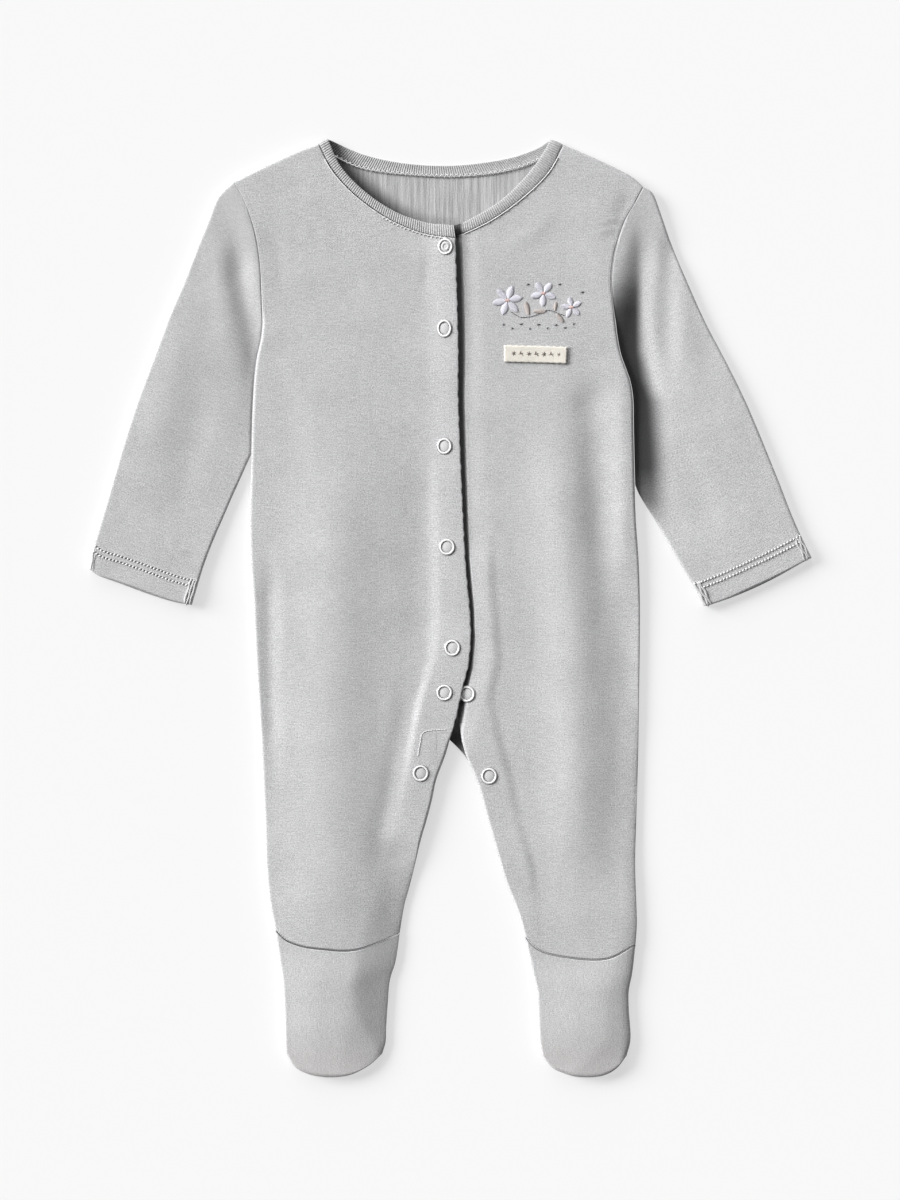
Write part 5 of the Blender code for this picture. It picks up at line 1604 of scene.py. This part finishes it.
def column_at(grid, distances, value):
    """The grid's column that keeps a given distance from one of its sides."""
    return np.stack([
        [np.interp(value, row, part) for row, part in zip(distances, grid[..., k])]
        for k in range(3)
    ], axis=-1)


def seam_end(name, grid, from_side, from_low, length, gaps, radius):
    """Thick end of an overlocked seam: strands side by side, running up from the hem's edge.

    Each strand swings by a sine along it, and rises by a half sine.
    """
    rows = np.flatnonzero(from_low[:, 0] < length)
    order = 1 if from_side[0, 0] < from_side[0, -1] else -1
    paths = []
    for gap in gaps:
        line = column_at(grid[:, ::order], from_side[:, ::order], gap)[rows[0]: rows[-1] + 1]
        s = np.linspace(0, arc(line)[-1], 16)
        path = at(line, s)
        path[:, 2] += 0.25 * np.sin(np.pi * s / s[-1])
        path[:, :2] += 0.28 * np.sin(s / 1.3 + 2.1 * gap)[:, None]
        paths.append(path)
    taper = 0.55 + 0.45 * np.sin(np.pi * np.linspace(0.12, 0.95, 16)) ** 0.5
    return strands(name, paths, radius * taper, [seam_cotton], sides=10)


right_cuff, left_cuff = (right_sleeve_top, right_sleeve_lay), (left_sleeve_top, left_sleeve_lay)
for name, (grid, lay), from_side, length, gaps, radius in (
    ("seam_end_right", right_cuff, right_sleeve_lay.from_right, 15.0, (1.3, 2.9, 4.4), 0.72),
    ("seam_end_left", left_cuff, left_sleeve_lay.from_left, 15.0, (1.3, 2.8, 4.2), 0.7),
    ("fold_end_right", right_cuff, right_sleeve_lay.from_left, 13.0, (1.3, 2.6), 0.12),
    ("fold_end_left", left_cuff, left_sleeve_lay.from_right, 14.0, (1.2, 2.6, 3.9), 0.55),
):
    seam_end(name, grid, from_side, lay.from_low, length, gaps, radius)

# %% [markdown]
# ## Stitching at the neck and the opening
# The neck strip is held by a zigzag of pale thread on the inside of the back neck
# and by small stitches beside it on the fronts. A short row ties the facing down
# above the crotch, and the armhole and ankle seams show a few stitches.

# %% Stitches inside the neck
ZIGZAG_PITCH = 2.8


def zigzag(name, line, width, pitch, radius):
    """One thread that swings from side to side: a rounded triangle wave across the line."""
    fine = np.linspace(0, arc(line)[-1], int(arc(line)[-1] / pitch) * 6)
    centre = at(line, fine)
    side = unit(np.cross([0.0, 0.0, 1.0], unit(np.gradient(centre, axis=0))))
    swing = np.arcsin(0.96 * np.sin(TURN * fine / pitch)) / (0.5 * np.pi)
    path = centre + 0.5 * width * swing[:, None] * side
    path[:, 2] += 0.12 * np.abs(np.cos(TURN * fine / pitch))
    return strands(name, path[None], radius, [pale_thread], "rib", sides=5)


back_part = np.abs(seam_line[:, 2]) < 0.02
inside_seam = (seam_line[back_part] + [0.0, 0.0, BINDING_WALL + 0.2])[8:-8]
zigzag("neck_zigzag", inside_seam, 1.7, ZIGZAG_PITCH, 0.24)
# a row of near-black stitches under the zigzag is painted shadow
hole_line = inside_seam - [0.0, 1.1, 0.4]
sewn("neck_shadow_stitches", hole_line, 0.5 * ZIGZAG_PITCH, 0.7, 0.1, 0.26, shade_thread, "rib")

# %% Stitches beside the neck
FRONT_PITCH = 2.3


def on_cloth(grid, plan, lift=0.05):
    """Plan points laid on a grid of cloth, a little above it."""
    return np.column_stack([plan, height_on(grid, plan[:, 0], plan[:, 1]) + lift])


def beside_neck(chain, distance, low_x, high_x):
    """Part of a neck seam in plan, moved onto the body, between two places across the garment."""
    line = beside(chain[::4, :2], distance)
    return line[(line[:, 0] > low_x) & (line[:, 0] < high_x)]


back_first, back_last = np.flatnonzero(back_part)[[0, -1]]
right_seam, left_seam = seam_line[: back_first - 60], seam_line[back_last + 60:]
for name, chain, grid, low_x, high_x in (
    ("neck_edge_thread_right", right_seam, right_grid, -72.0, -1.0),
    ("neck_edge_thread_left", left_seam, left_grid, 8.0, 62.0),
):
    line = beside_neck(chain, 0.75, low_x, high_x)
    strands(name, on_cloth(grid, line, 0.28)[None], 0.30, [pale_thread])
swing_line = on_cloth(right_grid, beside_neck(right_seam, 0.9, -39.0, -3.0), 0.1)
sewn("neck_zigzag_front", swing_line, FRONT_PITCH, 0.5, 0.3, 0.24, pale_thread, slant=1.9)
# near-black specks between the zigzag's stitches are painted shade
sewn(
    "neck_specks_front", swing_line, FRONT_PITCH, 0.6, 0.1, 0.24, shade_thread, slant=0.2,
    first=0.5 * FRONT_PITCH,
)

# %% Facing, armhole and ankle stitches
BARTACK = [
    (-3.2, -69), (-10, -69.4), (-14, -70), (-16.2, -71.5), (-17, -75), (-18.5, -84),
]
FACING_END = [(-8.3, -71), (-8.4, -82)]
ARMHOLE_GAP = 1.9                # distance of the armhole's stitches from its seam
ARMHOLE_SEEN = (168.0, 236.0)    # the stretch of it on which they show

tack_line, end_line = (on_cloth(right_grid, rounded(line)) for line in (BARTACK, FACING_END))
sewn("facing_stitches", tack_line, 1.5, 1.3, 0.15, 0.28, pale_thread)
sewn("facing_end_stitches", end_line, 1.5, 1.3, 0.04, 0.11, grey_thread)
for name, line in (
    ("armhole_stitches_right", column_at(right_grid, right_lay.from_left, ARMHOLE_GAP)),
    ("armhole_stitches_left", column_at(left_grid, -left_lay.from_right, -ARMHOLE_GAP)),
):
    line = line[(line[:, 1] > ARMHOLE_SEEN[0]) & (line[:, 1] < ARMHOLE_SEEN[1])][::-1]
    sewn(name, line, 1.7, 1.0, 0.08, 0.14, grey_thread)
# the ankle stitches are near-black thread, painted shade along the seam
for name, grid, ankle in (
    ("ankle_stitches_right", right_grid, ANKLE_R), ("ankle_stitches_left", left_grid, ANKLE_L),
):
    line = on_cloth(grid, beside(rounded(ankle), 0.5)[3:-3])
    sewn(name, line, 1.5, 0.7, 0.05, 0.15, shade_thread)
print("small stitches sewn")

# %% [markdown]
# ## Poppers
# Nine ring poppers close the front. The cap is a stamped ring with pale enamel: a
# thin rolled rim of dark bare metal outside, a rounded enamelled band, a dark metal
# wall inside it, and inside that the cloth, pushed up a little by the stud below,
# with the tips of five prongs round it. The dark metal of the rim and the inner wall
# is partly real bare nickel and partly painted shade: it draws the shadow lines
# round and inside the ring. A lathe would turn such a ring, so its profile is
# turned here: points of radius and height carried round a circle.

# %% Popper finishes
def speckled(name, roughness, scale, detail, dark, light, **sockets):
    """A finish whose colour goes from dark to light by fine noise on object coordinates."""
    look, shader = finish(name, roughness, **sockets)
    where = node(look, "ShaderNodeTexCoord").outputs["Object"]
    inputs = {"Vector": where, "Scale": scale, "Detail": detail}
    grain = node(look, "ShaderNodeTexNoise", inputs).outputs["Fac"]
    shade = ramp(look, grain, (0.3, dark), (0.7, light))
    look.node_tree.links.new(shade, shader.inputs["Base Color"])
    return look


enamel = speckled(
    "pale_enamel", 0.32, 900.0, 2.0, (0.93, 0.93, 0.92), (0.97, 0.97, 0.965),
    Coat_Weight=0.25, Coat_Roughness=0.2,
)
# bare nickel, dark enough to be painted shade as well: the shadow lines round and inside each ring,
# and the prongs' dark specks
nickel_and_shade_line = speckled(
    "nickel_and_painted_shade_line", 0.42, 1500.0, 3.0, (0.34, 0.34, 0.35), (0.50, 0.50, 0.51), Metallic=0.85,
)
pressed_cotton = thread_look("pressed_cotton", (0.69, 0.69, 0.69), 0.9)
print("popper finishes ready")

# %% Popper tables
# number: x, y, width and height against a round ring, panel
POPPERS = {
    1: (-3.0, 206.2, 0.93, 1.04, "right"),
    2: (-3.5, 159.5, 0.90, 1.12, "right"),
    3: (-3.5, 92.5, 0.92, 1.02, "right"),
    4: (-2.0, 35.0, 0.98, 1.02, "right"),
    5: (1.0, -22.5, 0.98, 1.03, "right"),
    6: (-3.5, -48.0, 0.99, 1.01, "right"),
    7: (9.4, -48.8, 0.99, 1.01, "left"),
    8: (-17.0, -94.0, 1.0, 1.03, "right"),
    9: (22.0, -95.5, 1.0, 1.03, "left"),
}
# radius, height and finish (0 enamel, 1 dark metal, partly painted shade for the ring's outlines, 2
# cloth) from the outer foot to the middle
RIM = [
    (4.74, -0.30, 1), (4.80, 0.15, 1), (4.70, 0.32, 1), (4.48, 0.30, 1), (4.40, 0.22, 0),
    (4.34, 0.52, 0), (4.16, 0.72, 0), (3.86, 0.80, 0), (3.56, 0.72, 0), (3.38, 0.50, 0),
    (3.32, 0.22, 1), (3.02, 0.04, 1),
]
POPPER_PROFILE = RIM + [
    (2.86, 0.10, 2), (2.50, 0.24, 2), (1.70, 0.36, 2), (0.80, 0.42, 2), (0.05, 0.43, 2),
]
STUD_PROFILE = RIM + [
    (2.80, 0.16, 2), (2.45, 0.34, 2), (2.10, 0.62, 2), (1.75, 0.72, 2), (1.40, 0.58, 2),
    (1.15, 0.30, 2), (0.60, 0.42, 2), (0.05, 0.46, 2),
]
ROUND = 56                # points round a ring
RESTS_AT = 3.6            # radius of the circle on which a ring rests
TOUCHED = 1.2             # it touches cloth up to this far below the highest
PRONGS = 5
PRONG_SPAN = (2.75, 3.2)  # radii between which a prong's tip shows
PRONG_HEIGHT = 0.22
print("a popper is", 2 * max(radius for radius, _, _ in RIM), "mm across")

# %% Poppers
def resting(grid, x, y, wide, tall, count=24):
    """Height and slopes of the plane through the highest cloth under a ring, by least squares."""
    t = TURN * np.arange(count) / count
    px, py = x + RESTS_AT * wide * np.cos(t), y + RESTS_AT * tall * np.sin(t)
    z = height_on(grid, px, py)
    high = z > z.max() - TOUCHED
    columns = np.stack([np.ones(count), px - x, py - y], axis=1)
    return np.linalg.lstsq(columns[high], z[high], rcond=None)[0]


def popper(number, profile):
    """A profile turned round its own axis, lying on the plane of the cloth below it.

    Returns the two ends of its prongs' tips, which are threads of metal.
    """
    x, y, wide, tall, panel = POPPERS[number]
    grid = right_grid if panel == "right" else left_grid
    base, slope_x, slope_y = resting(grid, x, y, wide, tall)
    t = TURN * np.arange(ROUND) / ROUND
    radius, height, looks = np.array(profile).T
    dx, dy = radius[:, None] * np.cos(t) * wide, radius[:, None] * np.sin(t) * tall
    z = base + slope_x * dx + slope_y * dy + height[:, None]
    points = np.stack([x + dx, y + dy, z], axis=-1)
    mesh = new_mesh(
        "popper_%d_ring" % number, points.reshape(-1, 3), tube_faces(len(profile), ROUND),
    )
    piece = place(mesh.name, mesh, enamel, "pearl_cap")
    mesh.materials.append(nickel_and_shade_line)
    mesh.materials.append(pressed_cotton)
    indices = np.concatenate([np.repeat(looks[1:], ROUND), [1, 2]])
    mesh.polygons.foreach_set("material_index", indices.astype(np.int32))
    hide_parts("popper_%d" % number)
    heading = t[:: ROUND // PRONGS][:PRONGS] + 0.3 * number
    aim = np.stack([np.cos(heading) * wide, np.sin(heading) * tall])
    dx, dy = np.array(PRONG_SPAN)[:, None] * aim[:, None]
    z = base + slope_x * dx + slope_y * dy + PRONG_HEIGHT
    return np.stack([x + dx, y + dy, z], axis=-1)


tips = np.concatenate([
    popper(number, STUD_PROFILE if number == 1 else POPPER_PROFILE) for number in POPPERS
], axis=1)
strands("popper_prongs", stitch_paths(*tips, 0.10), stitch_radius(0.2), [nickel_and_shade_line], "pearl_cap")
print(len(POPPERS), "poppers with", PRONGS, "prongs each")

# %% [markdown]
# ## Chest tab
# A short piece of cream woven tape is stitched flat on the left chest. A row of
# small stars and leaves in brown thread runs along it. Its ends are cut, so they
# are a little ragged, and its outer end stands off the cloth. A box would look
# like card; a grid laid over the chest's own height follows the cloth.

# %% Tab
TAB_CORNERS = [(30.5, 150.0), (66.5, 149.0), (66.0, 139.5), (30.5, 140.5)]
TAB_LONG, TAB_WIDE = 36.0, 9.5
TAB_THICK = 0.85
TAB_LIFT = 0.25       # gap between the tab and the cloth
TAB_ROLL = 0.9        # its edges thin by 0.3 over this width


def woven(name, colour):
    """Plain weave: two crossing sines, one for the warp and one for the weft, and a little slub."""
    look, shader = finish(name, 0.85, Specular_IOR_Level=0.2, Sheen_Weight=0.1)
    cells = node(look, "ShaderNodeSeparateXYZ", {0: cloth_map(look, (1500.0, 1500.0))}).outputs
    warp = math(look, "SINE", math(look, "MULTIPLY", cells[0], TURN))
    weft = math(look, "SINE", math(look, "MULTIPLY", cells[1], TURN))
    crossing = math(look, "MULTIPLY", warp, weft)
    slub = noise(look, cloth_map(look, (250.0, 1400.0)), 2.0)
    shade = ramp(look, slub, (0.3, tuple(0.93 * c for c in colour)), (0.7, colour))
    look.node_tree.links.new(shade, shader.inputs["Base Color"])
    bumped(look, shader, crossing, 0.0001, 0.7)
    return look


def tab():
    """A grid between four corners with uneven ends; its outer end lifts by u to the sixth."""
    rows, columns = 22, 70
    v, u = np.meshgrid(np.linspace(0, 1, rows), np.linspace(0, 1, columns), indexing="ij")
    a, b, c, d = np.array(TAB_CORNERS)
    plan = (1 - v)[..., None] * ((1 - u)[..., None] * a + u[..., None] * b)
    plan = plan + v[..., None] * ((1 - u)[..., None] * d + u[..., None] * c)
    ragged = 0.22 * np.sin(9.0 * v * np.pi + 1.0) + 0.12 * np.sin(19.0 * v * np.pi)
    plan[..., 0] += ragged * (u**12 + (1 - u) ** 12)
    plan[..., 1] += 0.15 * np.sin(62.0 * u + 2.0) * (v**8 + (1 - v) ** 8)
    z = height_on(left_grid, plan[..., 0], plan[..., 1]) + TAB_LIFT + TAB_THICK
    z += 0.45 * u**6 + 0.10 * np.sin(5.0 * u) * (1 - u)
    from_ends = np.minimum(u * TAB_LONG, (1 - u) * TAB_LONG)
    from_sides = np.minimum(v * TAB_WIDE, (1 - v) * TAB_WIDE)
    z -= 0.3 * (1 - rise(np.minimum(from_ends, from_sides), TAB_ROLL))
    grid = np.concatenate([plan, z[..., None]], axis=-1)
    return cloth(
        "chest_tab_tape", [(grid, plan * MM, False)], cream_tape, "cream_cotton", wall=TAB_THICK,
    )


cream_tape = woven("cream_tape", (0.93, 0.885, 0.80))
tab_piece = tab()
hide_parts("chest_tab")
print("tab is", TAB_LONG, "mm long")

# %% [markdown]
# ## Chest embroidery
# Above the tab there is a small embroidery in satin stitch, here a plain garden
# sprig: three pale flowers on a stem, four leaves and a scatter of dark seed
# stitches. Satin stitch is rows of parallel threads laid across a shape, so each
# petal is a fan of threads cut off by an ellipse. An image on the cloth would be
# quicker, but it would lie flat and catch no light.

# %% Embroidery tables
EMBROIDERY_LOOKS = [thread_look(name, colour) for name, colour in (
    ("lilac_thread", (0.80, 0.79, 0.86)), ("blush_thread", (0.82, 0.60, 0.56)),
    ("stone_thread", (0.60, 0.54, 0.51)), ("dark_thread", (0.075, 0.075, 0.085)),
)]
LILAC, BLUSH, STONE, DARK = range(4)
# flowers: x, y, petals, petal length, petal width, turn
FLOWERS = [
    (32.5, 175.5, 6, 7.4, 5.2, 0.2), (53.0, 179.5, 5, 6.2, 4.9, 0.9),
    (69.0, 171.5, 5, 4.9, 4.0, 0.5),
]
# leaves: x and y of the foot, length, width, heading
LEAVES = [
    (44.5, 167.5, 7.5, 4.0, 1.8), (47.3, 169.3, 7.0, 3.6, 0.0),
    (60.5, 168.0, 6.2, 3.2, -0.9), (59.5, 169.8, 5.0, 2.8, 1.45),
]
STEM = [(34.5, 169), (40, 166), (47.5, 166.8), (55, 170), (61, 168.3), (66, 166.5)]
SEED_PLACES = [
    (30, 161.5), (35, 159.5), (40, 161.8), (45, 159.2), (50, 161.6), (55, 159.4),
    (60, 161.4), (65, 159.8), (70, 162), (44, 184.5), (62, 184.5), (75, 180),
]
print(len(FLOWERS), "flowers,", len(LEAVES), "leaves and", len(SEED_PLACES), "seed stitches")

# %% Embroidery
def satin(x, y, heading, length, width, spacing=0.36):
    """Threads across an ellipse that starts at (x, y), lies along a heading and widens outwards."""
    s = np.arange(0.5 * spacing, length, spacing)
    ellipse = np.sqrt(np.clip(1 - (2 * s / length - 1) ** 2, 0.02, 1))
    half = 0.5 * width * ellipse * (0.6 + 0.4 * s / length)
    along = np.array([np.cos(heading), np.sin(heading)])
    side = np.array([-along[1], along[0]])
    middle = np.array([x, y]) + s[:, None] * along
    lean = 0.25 * half[:, None] * along
    return middle - half[:, None] * side - lean, middle + half[:, None] * side - lean


def embroider():
    """Gathers every thread's start and end with its colour, then lays them on the chest's cloth."""
    parts = []
    for x, y, petals, length, width, turn in FLOWERS:
        for k in range(petals):
            heading = turn + TURN * k / petals
            foot_x, foot_y = x + 1.1 * np.cos(heading), y + 1.1 * np.sin(heading)
            parts.append((*satin(foot_x, foot_y, heading, length, width), LILAC))
        parts.append((*satin(x - 1.3, y, 0.0, 2.6, 2.9), BLUSH))
    for x, y, length, width, heading in LEAVES:
        parts.append((*satin(x, y, heading, length, width), STONE))
    stem = rounded(STEM)
    places = at(stem, np.arange(0, arc(stem)[-1], 1.5))
    parts.append((places[:-1], places[:-1] + 0.75 * np.diff(places, axis=0), DARK))
    seeds = np.array(SEED_PLACES)
    tilt = 0.9 * np.array([np.cos(0.4 + seeds[:, 0]), 0.5 * np.sin(0.4 + seeds[:, 0])]).T
    parts.append((seeds - tilt, seeds + tilt, DARK))
    crossed = tilt * [1, -1]
    parts.append((seeds - crossed + [0.3, 0.4], seeds + crossed + [0.3, 0.4], DARK))
    start, end = (np.vstack([part[k] for part in parts]) for k in (0, 1))
    which = np.concatenate([np.full(len(part[0]), part[2]) for part in parts])
    raised = np.where(which == BLUSH, 0.32, 0.14)[:, None, None]
    paths = stitch_paths(on_cloth(left_grid, start, 0.0), on_cloth(left_grid, end, 0.0), 0.18)
    paths[..., 2:] += raised * np.sin(np.pi * np.linspace(0.08, 0.92, 6))[None, :, None]
    radius = np.where(which == DARK, 0.20, 0.24)[:, None] * stitch_radius(1.0)
    return strands("chest_embroidery", paths, radius, EMBROIDERY_LOOKS, which=which)


embroider()

# %% [markdown]
# ## Stars and leaves on the tab
# Each star or sprig on the tab is three straight stitches that share a middle, as
# a machine sews such small figures, so a few strokes are all that they need.

# %% Stars and leaves
bark_thread = thread_look("bark_thread", (0.20, 0.16, 0.14))
ROW_START, ROW_END, ROW_PITCH = 36.0, 62.5, 4.3


def tab_row():
    """Stars of three crossing stitches and, between them, sprigs of a stem with two leaves."""
    strokes = []
    for k, x in enumerate(np.arange(ROW_START, ROW_END, ROW_PITCH)):
        middle = np.array([x, 145.0 - 0.028 * (x - 48.0)])
        if k % 2 == 0:
            strokes += [(middle, turn, -1.5, 1.5) for turn in (0.3, 1.35, 2.4)]
        else:
            leaf = middle - [0.8, 0.2]
            strokes += [(middle, 0.2, -1.8, 1.5), (leaf, 1.25, 0.0, 1.9), (middle, -0.85, 0.0, 1.8)]
    ends = []
    for side in (2, 3):
        plan = np.array([s[0] + s[side] * np.array([np.cos(s[1]), np.sin(s[1])]) for s in strokes])
        z = height_on(left_grid, plan[:, 0], plan[:, 1]) + TAB_LIFT + TAB_THICK
        ends.append(np.column_stack([plan, z]))
    paths = stitch_paths(*ends, 0.12)
    strands("tab_stars_and_leaves", paths, stitch_radius(0.22), [bark_thread], "cream_cotton")


tab_row()
print("embroidery done")

# %% [markdown]
# ## Floor
# The garment lies on a plain pale floor. It glows a little by itself, so it stays
# bright all round and still takes soft shadows. A backdrop with lamps of its own
# would do the same with more to set up.

# %% Floor
FLOOR_RADIUS = 8.0    # metres
FLOOR_SIDES = 64
FLOOR_LOW = -0.0002   # just under the garment


def pale_floor():
    """A disc of many sides: the radius times the cosine and the sine of even angles."""
    angle = TURN * np.arange(FLOOR_SIDES) / FLOOR_SIDES
    plan = FLOOR_RADIUS * np.stack([np.cos(angle), np.sin(angle)], axis=1)
    rim = np.column_stack([plan, np.full(FLOOR_SIDES, FLOOR_LOW)])
    mesh = bpy.data.meshes.new("floor")
    mesh.from_pydata(rim.tolist(), [], [list(range(FLOOR_SIDES))])
    floor = bpy.data.objects.new("floor", mesh)
    bpy.context.scene.collection.objects.link(floor)
    look, shader = finish("pale_floor", 0.9, Specular_IOR_Level=0.1, Emission_Strength=0.585)
    shader.inputs["Base Color"].default_value = (0.36, 0.36, 0.36, 1.0)
    shader.inputs["Emission Color"].default_value = (1.0, 1.0, 1.0, 1.0)
    mesh.materials.append(look)


pale_floor()
print("floor is", 2 * FLOOR_RADIUS, "m across")

# %% [markdown]
# ## Light
# A soft light comes low from the side of the wearer's right shoulder and draws
# every crease. A broader one from beyond the neck and a little light from all
# round keep the shaded sides readable. Suns with wide angles are as soft as big
# lamps and light the whole garment evenly.

# %% Light
from mathutils import Vector


def soft_sun(name, heading, elevation, strength, softness):
    """A sun whose light comes from a heading, in degrees from +X, and a height above the floor."""
    lamp = bpy.data.lights.new(name, "SUN")
    lamp.energy, lamp.angle = strength, np.radians(softness)
    lamp_object = bpy.data.objects.new(name, lamp)
    a, e = np.radians(heading), np.radians(elevation)
    towards = -Vector((np.cos(a) * np.cos(e), np.sin(a) * np.cos(e), np.sin(e)))
    lamp_object.rotation_euler = towards.to_track_quat("-Z", "Y").to_euler()
    bpy.context.scene.collection.objects.link(lamp_object)


soft_sun("soft_key", heading=160.0, elevation=25.0, strength=4.8, softness=30.0)
soft_sun("broad_fill", heading=105.0, elevation=26.0, strength=1.6, softness=50.0)
world = bpy.data.worlds.new("even_fill")
world.use_nodes = True
world.node_tree.nodes["Background"].inputs["Color"].default_value = (1.0, 1.0, 1.0, 1.0)
world.node_tree.nodes["Background"].inputs["Strength"].default_value = 0.12
bpy.context.scene.world = world
bpy.context.scene.view_settings.view_transform = "Standard"
print("light set")

# %% [markdown]
# ## Camera
# The camera looks straight down from three metres, where there is hardly any
# perspective. A camera with none at all would hide how the edges roll over.

# %% Camera
FRAME_HEIGHT = 0.684  # metres of the garment's plane from the top to the bottom of the view
PLANE_HEIGHT = 0.005  # of that plane above the floor
CAMERA_HEIGHT = 3.0
SENSOR = 36.0

camera = bpy.data.cameras.new("camera")
camera.sensor_width = SENSOR
camera.lens = SENSOR * (CAMERA_HEIGHT - PLANE_HEIGHT) / FRAME_HEIGHT
camera_object = bpy.data.objects.new("camera", camera)
camera_object.location = (-0.0003, 0.0048, CAMERA_HEIGHT)
bpy.context.scene.collection.objects.link(camera_object)
bpy.context.scene.camera = camera_object
print("lens", round(camera.lens, 1), "mm")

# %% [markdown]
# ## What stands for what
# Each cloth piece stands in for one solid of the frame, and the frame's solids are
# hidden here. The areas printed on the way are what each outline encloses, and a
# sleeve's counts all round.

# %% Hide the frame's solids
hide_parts("front_right")
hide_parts("front_left")
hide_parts("back")
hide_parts("sleeve_right")
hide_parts("sleeve_left")
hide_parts("foot_top_right")
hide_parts("foot_top_left")
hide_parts("foot_sole_right")
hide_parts("foot_sole_left")
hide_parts("neck_binding")
